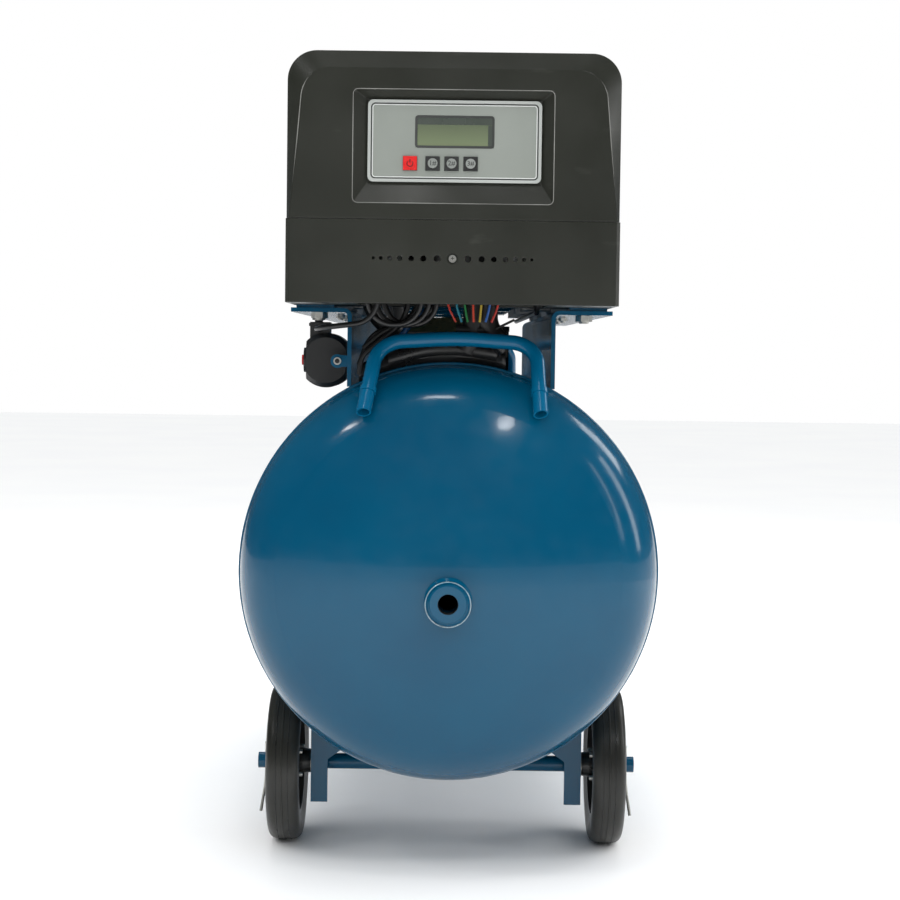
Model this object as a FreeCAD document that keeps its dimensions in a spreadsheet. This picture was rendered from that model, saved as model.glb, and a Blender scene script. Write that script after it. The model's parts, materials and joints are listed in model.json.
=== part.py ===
import FreeCAD, Part
import math
import os

import Sketcher
from FreeCAD import Placement, Rotation, Vector

# Three-pump oil-free air compressor on a horizontal tank.
# Frame: +Z up, -Y is the front with the control box, +X is the right-hand side.
# Origin: on the floor under the middle of the tank.

SIZES = [
    ("tank_radius", 200, "outer radius of the tank shell"),
    ("tank_wall", 3, "tank plate"),
    ("tank_half", 375, "half the straight length of the shell"),
    ("tank_height", 292, "tank axis above the floor"),
    ("head_step", 1, "the head sits this much inside the shell's outline"),
    ("crown_radius", 360, "crown of a dished head"),
    ("knuckle_radius", 68, "knuckle of a dished head"),
    ("port_drop", 15, "port centre below the tank axis"),
    ("port_radius", 18, "outside of the port boss"),
    ("port_bore", 9.3, "thread core radius of the port"),
    ("port_front", 497, "face of the port boss from the middle"),
    ("gap", 0.3, "clearance between parts that are not a fit"),
    ("handle_tube", 7, "outer radius of the handle tube"),
    ("handle_wall", 1.5, "wall of the handle tube"),
    ("handle_half", 69, "half the width of the handle at its top"),
    ("handle_foot", 80, "half the width of the handle at its feet"),
    ("handle_leg", 86, "height of the handle along its lean"),
    ("handle_tilt", 36.4, "lean of the handle in degrees"),
    ("handle_back", 388.9, "handle arch from the middle"),
    ("handle_top", 515.5, "handle arch above the floor"),
    ("plate", 4, "thickness of the frame plate"),
    ("rail_inner", 95, "inner face of a rail web from the middle"),
    ("rail_outer", 153, "outer edge of a rail flange from the middle"),
    ("deck_top", 543, "top of the rail flanges"),
    ("rail_foot", 468.3, "bottom edge of a rail web"),
    ("rail_bend", 8, "outer bend radius of a rail"),
    ("leg_face", 120.5, "inner edge of a leg's front plate"),
    ("leg_side", 137.5, "outer face of a leg"),
    ("leg_bottom", 43, "bottom of the legs"),
    ("leg_station", 245, "axle and feet from the middle"),
    ("leg_depth", 50, "depth of a leg"),
    ("axle_height", 80, "axle above the floor"),
    ("axle_radius", 8, "wheel axle"),
    ("axle_half", 193, "half the axle length"),
    ("wheel_track", 163, "wheel centre from the middle"),
    ("wheel_radius", 80, "tyre radius"),
    ("wheel_half_width", 16.5, "half the tyre width"),
    ("rim_radius", 54, "outside of the rim"),
    ("box_half", 152, "half the width of the control box"),
    ("box_bottom", 546, "bottom of the control box"),
    ("box_seam", 622, "seam between the two covers"),
    ("box_top", 775, "top of the control box"),
    ("box_back", 315, "back of the control box from the middle"),
    ("box_front", 455, "front face of the control box from the middle"),
    ("box_shoulder", 13, "depth of the sloped shoulder"),
    ("box_wall", 3, "plastic wall"),
    ("box_corner", 27, "top corner radius of the box"),
    ("panel_shift", 0.6, "controller centre to the right of the middle"),
    ("panel_middle", 693.6, "controller centre above the floor"),
    ("panel_half_width", 79, "half the width of the controller frame"),
    ("panel_half_height", 37, "half the height of the controller frame"),
    ("recess_depth", 11, "depth of the recess round the controller"),
    ("button_size", 12.5, "side of a button cap"),
    ("button_height", 673.5, "button row above the floor"),
    ("pump_pitch", 215, "distance between pumps"),
    ("pump_first", -210, "first pump along the tank"),
    ("motor_height", 606, "pump shaft above the floor"),
    ("motor_radius", 61, "pump motor"),
    ("motor_half", 71.5, "half the motor length"),
    ("case_outer", 125, "outer face of a crankcase from the middle"),
    ("cylinder_station", 98.5, "cylinder axis from the middle"),
    ("bore_radius", 25, "cylinder bore"),
    ("cylinder_bottom", 668.3, "bottom of a cylinder"),
    ("cylinder_top", 716, "top of a cylinder"),
    ("head_top", 752, "top of a cylinder head"),
    ("shaft_radius", 8, "pump shaft"),
    ("fan_outer", 155, "outer face of a fan cover from the middle"),
    ("fan_radius", 53, "fan cover radius"),
    ("hose_radius", 6, "delivery hose"),
    ("cable_radius", 2.6, "pump cable"),
    ("wire_radius", 1.1, "single wire"),
    ("bolt_radius", 4, "frame bolt"),
    ("air_line", 538, "outlet valve axis above the floor"),
    ("pump_bolt_radius", 2.5, "pump bolt"),
    ("pump_bolt_line", 113, "pump bolts from the middle"),
]

doc = FreeCAD.newDocument("Compressor")
sheet = doc.addObject("Spreadsheet::Sheet", "Dims")


class Size:
    """A number that remembers its expression on the sheet."""

    def __init__(self, number, words):
        self.number = float(number)
        self.words = words

    def __add__(self, other):
        return Size(self.number + number(other), "(%s + %s)" % (self.words, words(other)))

    def __radd__(self, other):
        return Size(number(other) + self.number, "(%s + %s)" % (words(other), self.words))

    def __sub__(self, other):
        return Size(self.number - number(other), "(%s - %s)" % (self.words, words(other)))

    def __rsub__(self, other):
        return Size(number(other) - self.number, "(%s - %s)" % (words(other), self.words))

    def __mul__(self, other):
        return Size(self.number * number(other), "(%s * %s)" % (self.words, words(other)))

    def __rmul__(self, other):
        return Size(number(other) * self.number, "(%s * %s)" % (words(other), self.words))

    def __truediv__(self, other):
        return Size(self.number / number(other), "(%s / %s)" % (self.words, words(other)))

    def __neg__(self):
        return Size(-self.number, "(0 - %s)" % self.words)

    def root(self):
        return Size(math.sqrt(self.number), "sqrt(%s)" % self.words)


def number(size):
    return size.number if isinstance(size, Size) else float(size)


def words(size):
    return size.words if isinstance(size, Size) else "(%.6g)" % size


def fill_sheet():
    """Put every size on the sheet and return them by name."""
    sizes = {}
    for row, (name, amount, note) in enumerate(SIZES, 1):
        sheet.set("A%d" % row, note)
        sheet.set("B%d" % row, str(amount))
        sheet.setAlias("B%d" % row, name)
        sizes[name] = Size(amount, "Dims." + name)
    doc.recompute()
    return sizes


D = fill_sheet()
UP = Vector(0, 0, 1)
ACROSS = Vector(1, 0, 0)
ALONG = Vector(0, 1, 0)


def bind(thing, prop, size):
    """Set a size and tie it to the sheet."""
    if isinstance(size, Size):
        thing.setExpression(prop, size.words)
    else:
        setattr(thing, prop, float(size))


def place(thing, x, y, z, turn=None):
    """Put a thing at a point, tied to the sheet where the point is."""
    thing.Placement = Placement(Vector(number(x), number(y), number(z)), turn or Rotation())
    for letter, size in (("x", x), ("y", y), ("z", z)):
        if isinstance(size, Size):
            thing.setExpression("Placement.Base." + letter, size.words)
    return thing


def towards(axis):
    return Rotation(UP, axis)


def block(name, x, y, z):
    """A box from three (low, high) pairs."""
    box = doc.addObject("Part::Box", name)
    for prop, (low, high) in (("Length", x), ("Width", y), ("Height", z)):
        bind(box, prop, high - low)
    return place(box, x[0], y[0], z[0])


def rod(name, radius, length, x, y, z, axis=UP):
    """A cylinder that starts at a point and runs along an axis."""
    bar = doc.addObject("Part::Cylinder", name)
    bind(bar, "Radius", radius)
    bind(bar, "Height", length)
    return place(bar, x, y, z, towards(axis))


def hexagon(name, across, height, x, y, z, axis=UP):
    """A hexagon prism, such as a bolt head or a nut."""
    prism = doc.addObject("Part::Prism", name)
    prism.Polygon = 6
    prism.Circumradius = across / math.sqrt(3)
    prism.Height = height
    return place(prism, x, y, z, towards(axis))


def joined(name, *things):
    fuse = doc.addObject("Part::MultiFuse", name)
    fuse.Shapes = list(things)
    return fuse


def less(name, base, *tools):
    cut = doc.addObject("Part::Cut", name)
    cut.Base = base
    cut.Tool = tools[0] if len(tools) == 1 else joined(name + "_tools", *tools)
    return cut


def group(name, things):
    """Separate solids that share one node."""
    bundle = doc.addObject("Part::Compound", name)
    bundle.Links = list(things)
    return bundle


def new_sketch(body, name, plane="XZ_Plane", offset=0):
    """A sketch on one of the body's own origin planes."""
    sketch = body.newObject("Sketcher::SketchObject", name)
    base = next(f for f in body.Origin.OriginFeatures if f.Role == plane)
    sketch.AttachmentSupport = (base, [""])
    sketch.MapMode = "FlatFace"
    if isinstance(offset, Size) or offset:
        sketch.AttachmentOffset = Placement(Vector(0, 0, number(offset)), Rotation())
        if isinstance(offset, Size):
            sketch.setExpression("AttachmentOffset.Base.z", offset.words)
    return sketch


def pin(sketch, geometry, point, x, y):
    """Fix a point of a sketch at x, y."""
    for kind, axis, size in (("DistanceX", -2, x), ("DistanceY", -1, y)):
        if number(size) == 0:
            sketch.addConstraint(Sketcher.Constraint("PointOnObject", geometry, point, axis))
            continue
        made = sketch.addConstraint(
            Sketcher.Constraint(kind, -1, 1, geometry, point, number(size)))
        if isinstance(size, Size):
            sketch.setExpression("Constraints[%d]" % made, size.words)


def draw(sketch, corners):
    """A closed outline. A corner is (x, y), or (x, y, mid x, mid y, radius) to reach it by an arc."""
    count = len(corners)
    first = sketch.GeometryCount
    starts = []
    ends = []
    arcs = []
    for i, corner in enumerate(corners):
        following = corners[(i + 1) % count]
        start = Vector(number(corner[0]), number(corner[1]), 0)
        end = Vector(number(following[0]), number(following[1]), 0)
        if len(following) == 5:
            middle = Vector(number(following[2]), number(following[3]), 0)
            sketch.addGeometry(Part.Arc(start, middle, end), False)
            arcs.append((first + i, following[4]))
        else:
            sketch.addGeometry(Part.LineSegment(start, end), False)
        straight = sketch.getPoint(first + i, 1).distanceToPoint(start) < 0.001
        starts.append(1 if straight else 2)
        ends.append(2 if straight else 1)
    for i in range(count):
        j = (i + 1) % count
        sketch.addConstraint(
            Sketcher.Constraint("Coincident", first + i, ends[i], first + j, starts[j]))
    for i, corner in enumerate(corners):
        pin(sketch, first + i, starts[i], corner[0], corner[1])
    for index, radius in arcs:
        made = sketch.addConstraint(Sketcher.Constraint("Radius", index, number(radius)))
        if isinstance(radius, Size):
            sketch.setExpression("Constraints[%d]" % made, radius.words)


def ring(sketch, x, y, radius):
    """A circle in a sketch."""
    made = sketch.addGeometry(
        Part.Circle(Vector(number(x), number(y), 0), UP, number(radius)), False)
    index = sketch.addConstraint(Sketcher.Constraint("Radius", made, number(radius)))
    if isinstance(radius, Size):
        sketch.setExpression("Constraints[%d]" % index, radius.words)
    pin(sketch, made, 3, x, y)


def rectangle(low_x, high_x, low_y, high_y):
    return [(low_x, low_y), (high_x, low_y), (high_x, high_y), (low_x, high_y)]


def pad(body, name, sketch, length, middle=False, back=False):
    feature = body.newObject("PartDesign::Pad", name)
    feature.Profile = sketch
    bind(feature, "Length", length)
    feature.Midplane = middle
    feature.Reversed = back
    return feature


def pocket(body, name, sketch, length=0, middle=False, back=False):
    """Cut a sketch out of a body, right through when no depth is given."""
    feature = body.newObject("PartDesign::Pocket", name)
    feature.Profile = sketch
    if number(length) == 0:
        feature.Type = "ThroughAll"
    else:
        bind(feature, "Length", length)
    feature.Midplane = middle
    feature.Reversed = back
    return feature


def turned(name, profile, x=0, y=0, z=0, axis=UP):
    """A body of revolution from (radius, along) corners about an axis."""
    body = doc.addObject("PartDesign::Body", name)
    sketch = new_sketch(body, name + "_profile")
    draw(sketch, profile)
    feature = body.newObject("PartDesign::Revolution", name + "_turn")
    feature.Profile = sketch
    feature.ReferenceAxis = (sketch, ["V_Axis"])
    feature.Angle = 360
    place(body, x, y, z, towards(axis))
    return body


def plain_turn(low_radius, high_radius, low, high):
    return [(low_radius, low), (high_radius, low), (high_radius, high), (low_radius, high)]


def route(points, share=0.45):
    """Straight runs joined by tangent arcs, as a list of curves."""
    curves = []
    start = points[0]
    for i in range(1, len(points) - 1):
        before = points[i - 1] - points[i]
        after = points[i + 1] - points[i]
        half_turn = (math.pi - before.getAngle(after)) / 2
        back = share * min(before.Length, after.Length)
        radius = back / math.tan(half_turn)
        unit_before = Vector(before).normalize()
        unit_after = Vector(after).normalize()
        arc_start = points[i] + unit_before * back
        arc_end = points[i] + unit_after * back
        bisector = (unit_before + unit_after).normalize()
        centre = points[i] + bisector * (radius / math.cos(half_turn))
        middle = centre - bisector * radius
        curves.append(Part.LineSegment(start, arc_start))
        curves.append(Part.Arc(arc_start, middle, arc_end))
        start = arc_end
        print("bend radius %.1f" % radius)
    curves.append(Part.LineSegment(start, points[-1]))
    return curves


def swept(name, points, radius):
    """A cable, hose or tube along a path, its radius read from the sheet."""
    path = Part.Wire([curve.toShape() for curve in route([Vector(*p) for p in points])])
    first = Vector(*points[0])
    direction = Vector(*points[1]) - first
    profile = Part.Wire(Part.makeCircle(number(radius), first, direction))
    thing = doc.addObject("Part::Feature", name)
    thing.Shape = path.makePipeShell([profile], True, False)
    expected = path.Length * math.pi * number(radius) ** 2
    if abs(thing.Shape.Volume / expected - 1) > 0.02:
        print("CHECK sweep", name, thing.Shape.Volume, expected)
    return thing


# ---------------------------------------------------------------- tank

def head_points(wall):
    """Corners of a dished head's outer or inner skin, apex first."""
    radius = D["tank_radius"] - D["head_step"]
    offset = radius - D["knuckle_radius"]
    reach = D["crown_radius"] - D["knuckle_radius"]
    centre = (reach * reach - offset * offset).root()
    crown = D["crown_radius"] - wall
    knuckle = D["knuckle_radius"] - wall
    apex = crown - centre
    joint = (offset * crown / reach, centre * crown / reach - centre)
    share = 0.5 * math.asin(number(offset) / number(reach))
    crown_mid = (number(crown) * math.sin(share),
                 number(crown) * math.cos(share) - number(centre))
    lean = 0.5 * (math.pi / 2 - math.asin(number(offset) / number(reach)))
    knuckle_mid = (number(offset) + number(knuckle) * math.cos(lean),
                   number(knuckle) * math.sin(lean))
    edge = (offset + knuckle, 0)
    return apex, joint, edge, crown_mid, knuckle_mid, crown, knuckle


def tank_head(name, axis):
    """A dished head turned about the tank axis."""
    outer = head_points(0)
    inner = head_points(D["tank_wall"])
    profile = [
        (0, outer[0]),
        (outer[1][0], outer[1][1], outer[3][0], outer[3][1], outer[5]),
        (outer[2][0], 0, outer[4][0], outer[4][1], outer[6]),
        (inner[2][0], 0),
        (inner[1][0], inner[1][1], inner[4][0], inner[4][1], inner[6]),
        (0, inner[0], inner[3][0], inner[3][1], inner[5]),
    ]
    station = (D["tank_half"] + 0.2) * axis.y
    head = turned(name + "_dish", profile, 0, station, D["tank_height"], axis)
    hole = rod(name + "_hole", D["port_radius"] + D["gap"], 60, 0,
               (D["port_front"] - 5) * axis.y, D["tank_height"] - D["port_drop"], axis * -1)
    return less(name, head, hole)


def tank_shell():
    radius = D["tank_radius"]
    profile = plain_turn(radius - D["tank_wall"], radius, -D["tank_half"], D["tank_half"])
    shell = turned("shell_tube", profile, 0, 0, D["tank_height"], ALONG)
    holes = [
        rod("shell_top_hole", 5, 20, 0, 335, 482),
        rod("shell_check_hole", 5, 20, 45, -325, 475),
        rod("shell_drain_hole", 5, 20, 0, 0, 85),
    ]
    return less("tank_shell", shell, *holes)


def port_boss(name, axis):
    """A threaded boss through a head, with its weld collar lying on the crown."""
    height = D["tank_height"] - D["port_drop"]
    outside = D["port_radius"]
    tube = turned(name + "_tube", [
        (D["port_bore"], 0), (outside - 1.5, 0), (outside, 1.5), (outside, 36),
        (D["port_bore"], 36)], 0, D["port_front"] * axis.y, height, axis * -1)
    collar = turned(name + "_collar", [
        (outside - 0.5, 14), (outside, 14), (outside + 4, 21), (outside + 4, 30),
        (outside - 0.5, 30)], 0, D["port_front"] * axis.y, height, axis * -1)
    outer = head_points(0)
    ball = doc.addObject("Part::Sphere", name + "_crown")
    bind(ball, "Radius", D["crown_radius"] + 0.2)
    place(ball, 0, (D["tank_half"] + 0.2 + outer[0] - D["crown_radius"]) * axis.y,
          D["tank_height"])
    weld = less(name + "_weld", collar, ball)
    return joined(name, tube, weld)


def handle(name, side):
    """A bent tube handle welded over the edge of a head, with a sleeve near each foot."""
    body = doc.addObject("PartDesign::Body", name + "_bar")
    leg = D["handle_leg"]
    foot_left = -D["handle_foot"]
    foot_right = D["handle_foot"] + 3
    corners = [(foot_left, -leg), (-D["handle_half"], -6), (7, 0), (D["handle_half"] + 11, -6),
               (foot_right, -leg)]
    path = new_sketch(body, name + "_path")
    for curve in route([Vector(number(x), number(y), 0) for x, y in corners], 0.31):
        path.addGeometry(curve, False)
    section = new_sketch(body, name + "_section", "XY_Plane", -leg)
    ring(section, foot_left, 0, D["handle_tube"])
    ring(section, foot_left, 0, D["handle_tube"] - D["handle_wall"])
    bar = body.newObject("PartDesign::AdditivePipe", name + "_pipe")
    bar.Profile = section
    bar.Spine = (path, ["Edge%d" % i for i in range(1, path.GeometryCount + 1)])
    lean = Rotation(ACROSS, -number(D["handle_tilt"]) * side)
    top = Vector(0, -number(D["handle_back"]) * side, number(D["handle_top"]))
    place(body, 0, -D["handle_back"] * side, D["handle_top"], lean)
    sleeves = []
    for foot, corner in ((corners[0], corners[1]), (corners[4], corners[3])):
        low = Vector(number(foot[0]), 0, number(foot[1]))
        high = Vector(number(corner[0]), 0, number(corner[1]))
        along = (high - low).normalize()
        start = top + lean.multVec(low + along * 22)
        axis = lean.multVec(along)
        label = "%s_sleeve_%d" % (name, len(sleeves))
        outer = rod(label + "_out", D["handle_tube"] + 0.9, 5, start.x, start.y, start.z, axis)
        inner = rod(label + "_in", D["handle_tube"] - 0.5, 5, start.x, start.y, start.z, axis)
        sleeves.append(less(label, outer, inner))
    return joined(name, body, *sleeves)


# ---------------------------------------------------------------- frame

def rail(name, side):
    """A folded rail: web on the tank, flange bent outwards to make the deck."""
    inner = D["rail_inner"] * side
    web = (D["rail_inner"] + D["plate"]) * side
    edge = D["rail_outer"] * side
    top = D["deck_top"]
    under = top - D["plate"]
    bend = D["rail_bend"]
    tight = bend - D["plate"]
    c = 0.5 ** 0.5
    corner_x = (D["rail_inner"] + bend) * side
    corner_z = top - bend
    profile = [
        (inner, D["rail_foot"]),
        (inner, corner_z),
        (corner_x, top, corner_x - bend * side * c, corner_z + bend * c, bend),
        (edge, top),
        (edge, under),
        (corner_x, under),
        (web, corner_z, corner_x - tight * side * c, corner_z + tight * c, tight),
        (web, D["rail_foot"]),
    ]
    body = doc.addObject("PartDesign::Body", name + "_plate")
    outline = new_sketch(body, name + "_profile")
    draw(outline, profile)
    pad(body, name + "_length", outline, D["tank_half"] * 2 - 2, middle=True)
    doc.recompute()
    holes = new_sketch(body, name + "_bolt_holes", "XY_Plane", top)
    for station in pump_stations():
        for shift in (-40, 40):
            ring(holes, D["pump_bolt_line"] * side, station + shift,
                 D["pump_bolt_radius"] + 0.4)
    for station in (-362, -345):
        ring(holes, 127 * side, station, D["bolt_radius"] + 0.5)
    pocket(body, name + "_drill", holes, D["plate"] + 2)
    return body


def leg(name, side, end):
    """A folded angle leg trimmed to the tank, with a gusset; end -1 front, 1 rear."""
    side_plate = (D["leg_side"] - D["plate"], D["leg_side"])
    near = D["leg_station"] + 25
    far = near - D["leg_depth"]
    spans = {
        "front": ((D["leg_face"], D["leg_side"]), (near - D["plate"], near), 0),
        "side": (side_plate, (far, near), 0),
    }
    pieces = []
    for label, (x, y, lift) in spans.items():
        low_x, high_x = x if side > 0 else (-x[1], -x[0])
        low_y, high_y = y if end > 0 else (-y[1], -y[0])
        pieces.append(block("%s_%s" % (name, label), (low_x, high_x), (low_y, high_y),
                            (D["leg_bottom"] + lift, D["leg_bottom"] + 117)))
    gusset = doc.addObject("PartDesign::Body", name + "_gusset")
    outline = new_sketch(gusset, name + "_gusset_outline")
    draw(outline, [(D["leg_face"] * side + 1 * side, 86), (D["leg_face"] * side + 1 * side, 160),
                   (78 * side, 160), (78 * side, 118)])
    pad(gusset, name + "_gusset_plate", outline, D["plate"])
    place(gusset, 0, near * end + (D["plate"] if end < 0 else 0), 0)
    pieces.append(gusset)
    if end > 0:
        low, high = D["leg_side"] - 40, D["leg_side"]
        low_x, high_x = (low, high) if side > 0 else (-high, -low)
        pieces.append(block(name + "_foot", (low_x, high_x), (far + 5, near),
                            (D["leg_bottom"], D["leg_bottom"] + D["plate"])))
    tools = [rod(name + "_trim", D["tank_radius"] + D["gap"], 120, 0,
                 D["leg_station"] * end - 60, D["tank_height"], ALONG)]
    if end < 0:
        tools.append(rod(name + "_axle_hole", D["axle_radius"] + 0.1, 30,
                         (D["leg_side"] - 20) * side if side > 0 else -D["leg_side"] - 10,
                         -D["leg_station"], D["axle_height"], ACROSS))
    else:
        tools.append(rod(name + "_foot_hole", D["bolt_radius"] + 0.5, 20,
                         117.5 * side, D["leg_station"], 38))
    return less(name, joined(name + "_plates", *pieces), *tools)


def rubber_foot(name, side):
    return turned(name, [
        (D["bolt_radius"] + 0.3, 20), (9, 20), (9, 0), (15, 0), (17, 2), (20, 38), (19, 42.7),
        (D["bolt_radius"] + 0.3, 42.7)], 117.5 * side, D["leg_station"], 0)


def bolt(name, x, y, low, high, radius, across):
    """A bolt through two plates from low to high, with its head and nut."""
    thick = radius * 1.4
    shank = rod(name + "_shank", radius, high - low + thick * 2, x, y, low - thick - 2)
    head = hexagon(name + "_head", across, number(thick), x, y, high + 0.2)
    nut = hexagon(name + "_nut", across, number(thick), x, y, low - thick - 0.2)
    return joined(name, shank, head, nut)


def frame_bolts():
    things = []
    deck_low = D["deck_top"] - D["plate"]
    for side in (-1, 1):
        for pump, station in enumerate(pump_stations()):
            for shift in (-40, 40):
                things.append(bolt("pump_bolt_%d_%d_%d" % (pump, side + 1, shift + 40),
                                   D["pump_bolt_line"] * side, station + shift, deck_low,
                                   D["deck_top"] + 8.5, D["pump_bolt_radius"], 8))
        for count, station in enumerate((-362, -345)):
            things.append(bolt("box_bolt_%d_%d" % (count, side + 1), 127 * side, station,
                               deck_low, D["deck_top"] + 6.5, D["bolt_radius"], 13))
        shank = rod("foot_bolt_shank_%d" % side, D["bolt_radius"], 40, 117.5 * side,
                    D["leg_station"], 14)
        head = hexagon("foot_bolt_head_%d" % side, 13, 5.5, 117.5 * side, D["leg_station"], 14)
        nut = hexagon("foot_bolt_nut_%d" % side, 13, 6.5, 117.5 * side, D["leg_station"], 47.2)
        things.append(joined("foot_bolt_%d" % (side + 1), shank, head, nut))
    screw = rod("earth_shank", 2.5, 12, -108.5, -372, 492.5, ALONG)
    head = rod("earth_head", 3.6, 2.4, -108.5, -374.4, 492.5, ALONG)
    things.append(joined("earth_bolt", screw, head))
    return group("frame_bolts", things)


def earth_lug():
    tab = block("lug_tab", (-108.5, -99.2), (-371.7, -369.2), (487, 498))
    eye = rod("lug_eye", 6.5, 2.5, -108.5, -371.7, 492.5, ALONG)
    hole = rod("lug_hole", 2.8, 6, -108.5, -373, 492.5, ALONG)
    return less("earth_lug", joined("lug_plate", tab, eye), hole)


# ---------------------------------------------------------------- wheels

def tyre(name, side):
    half = D["wheel_half_width"]
    radius = D["wheel_radius"]
    rim = D["rim_radius"] + D["gap"]
    profile = [
        (rim, -half + 2.5), (rim + 8, -half), (radius - 9, -half),
        (radius - 0.8, -half + 8, radius - 3.1, -half + 2.7, 8.4),
        (radius - 0.5, -1), (radius, -0.6), (radius, 0.6), (radius - 0.5, 1),
        (radius - 0.8, half - 8), (radius - 9, half, radius - 3.1, half - 2.7, 8.4),
        (rim + 8, half), (rim, half - 2.5),
    ]
    return turned(name, profile, D["wheel_track"] * side, -D["leg_station"],
                  D["axle_height"], ACROSS * side)


def wheel_rim(name, side):
    """Rim band, spoked disc and hub in one moulding; the long end of the hub faces the leg."""
    bore = D["axle_radius"] + 0.08
    rim = D["rim_radius"]
    body = turned(name, [
        (bore, -24), (12, -24), (13, -16), (13, -2.5), (rim - 4, -2.5), (rim - 4, -14),
        (rim, -14), (rim, 14), (rim - 4, 14), (rim - 4, 2.5), (13, 2.5), (13, 16),
        (12, 17.5), (bore, 17.5)], D["wheel_track"] * side, -D["leg_station"],
        D["axle_height"], ACROSS * side)
    doc.recompute()
    window = new_sketch(body, name + "_window", "XY_Plane")
    draw(window, [(20, -7), (43, -15), (43, 15), (20, 7)])
    cut = pocket(body, name + "_cut", window, 12, middle=True)
    pattern = body.newObject("PartDesign::PolarPattern", name + "_spokes")
    pattern.Originals = [cut]
    pattern.Axis = (window, ["N_Axis"])
    pattern.Angle = 360
    pattern.Occurrences = 6
    body.Tip = pattern
    return body


def axle():
    bar = rod("axle_bar", D["axle_radius"], D["axle_half"] * 2, -D["axle_half"],
              -D["leg_station"], D["axle_height"], ACROSS)
    collars = []
    for side in (-1, 1):
        start = 122 if side > 0 else -133
        collars.append(rod("axle_collar_%d" % side, 13, 11, start, -D["leg_station"],
                           D["axle_height"], ACROSS))
    holes = [rod("pin_hole_%d" % side, 1.9, 30, 185 * side, -D["leg_station"],
                 D["axle_height"] - 15) for side in (-1, 1)]
    return less("wheel_axle", joined("axle_turned", bar, *collars), *holes)


def axle_washers():
    things = []
    for side in (-1, 1):
        for low, high in ((137.8, 138.8), (180.8, 182.6)):
            station = -D["leg_station"]
            outer = rod("washer_o_%d_%d" % (side, low), 14, high - low,
                        low if side > 0 else -high, station, D["axle_height"], ACROSS)
            inner = rod("washer_i_%d_%d" % (side, low), D["axle_radius"] + 0.1, 8,
                        low - 3 if side > 0 else -high - 3, station, D["axle_height"], ACROSS)
            things.append(less("washer_%d_%d" % (side, low), outer, inner))
    return group("axle_washers", things)


def split_pins():
    things = []
    for side in (-1, 1):
        y = -number(D["leg_station"])
        x = 185.0 * side
        things.append(swept("split_pin_%d" % (side + 1), [
            (x, y, 99), (x, y, 60), (x + 5 * side, y - 5, 28)], 1.5))
    return group("split_pins", things)


# ---------------------------------------------------------------- control box

def cover_outline(inset):
    """Corners of the upper cover seen from the front, moved in by an inset."""
    half = D["box_half"] - inset
    top = D["box_top"] - inset
    corner = D["box_corner"] - inset
    c = 0.5 ** 0.5
    low = D["box_seam"] + D["gap"]
    return [
        (-half, low), (half, low), (half, top - corner),
        (half - corner, top, half - corner + corner * c, top - corner + corner * c, corner),
        (corner - half, top),
        (-half, top - corner, corner - half - corner * c, top - corner + corner * c, corner),
    ]


def face_outline(inset):
    """Corners of the raised front face of the upper cover."""
    low_half = D["box_half"] - 3 - inset
    half = D["box_half"] - 14.5 - inset
    top = D["box_top"] - 17 - inset
    corner = D["box_corner"] - 2 - inset
    c = 0.5 ** 0.5
    low = D["box_seam"] + D["gap"]
    return [
        (-low_half, low), (low_half, low), (half, top - corner),
        (half - corner, top, half - corner + corner * c, top - corner + corner * c, corner),
        (corner - half, top),
        (-half, top - corner, corner - half - corner * c, top - corner + corner * c, corner),
    ]


def cover_block(name, inset, back, front):
    """A solid the shape of the upper cover: straight sides, then the sloped shoulder."""
    body = doc.addObject("PartDesign::Body", name)
    outline = new_sketch(body, name + "_outline")
    draw(outline, cover_outline(inset))
    shoulder = D["box_front"] - D["box_shoulder"]
    pad(body, name + "_sides", outline, shoulder - back, back=True)
    base = new_sketch(body, name + "_base")
    draw(base, cover_outline(inset))
    face = new_sketch(body, name + "_face", "XZ_Plane", front - shoulder)
    draw(face, face_outline(inset))
    loft = body.newObject("PartDesign::AdditiveLoft", name + "_shoulder")
    loft.Profile = base
    loft.Sections = [face]
    loft.Ruled = True
    return place(body, 0, -shoulder, 0)


def frustum(name, grow):
    """The recess round the controller, wide at the front, narrow at the panel."""
    wedge = doc.addObject("Part::Wedge", name)
    middle = number(D["panel_middle"])
    front = -number(D["box_front"]) - (0.1 if grow == 0 else 0)
    floor = -number(D["box_front"] - D["recess_depth"]) + grow
    wedge.Xmin = -92 - grow
    wedge.Xmax = 90 + grow
    wedge.Ymin = front
    wedge.Ymax = floor
    wedge.Zmin = 637 - grow
    wedge.Zmax = 739 + grow
    wedge.X2min = -number(D["panel_half_width"]) - 0.5 - grow
    wedge.X2max = number(D["panel_half_width"]) + 0.5 + grow
    wedge.Z2min = middle - number(D["panel_half_height"]) - 0.5 - grow
    wedge.Z2max = middle + number(D["panel_half_height"]) + 0.5 + grow
    return place(wedge, D["panel_shift"], 0, 0)


def upper_cover():
    wall = D["box_wall"]
    outer = cover_block("cover_outer", 0, D["box_back"], D["box_front"])
    inner = cover_block("cover_inner", wall, D["box_back"] - 5, D["box_front"] - wall)
    below = block("cover_below", (-148, 148), (-450, -300), (600, D["box_seam"] + 6))
    shell = less("cover_shell", outer, inner, below)
    tray = joined("cover_with_tray", shell, frustum("tray_outer", 3))
    opening = block("cover_opening", (D["panel_shift"] - 75, D["panel_shift"] + 75),
                    (-450, -430), (D["panel_middle"] - 33, D["panel_middle"] + 33))
    return less("box_upper_cover", tray, frustum("tray_inner", 0), opening)


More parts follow.
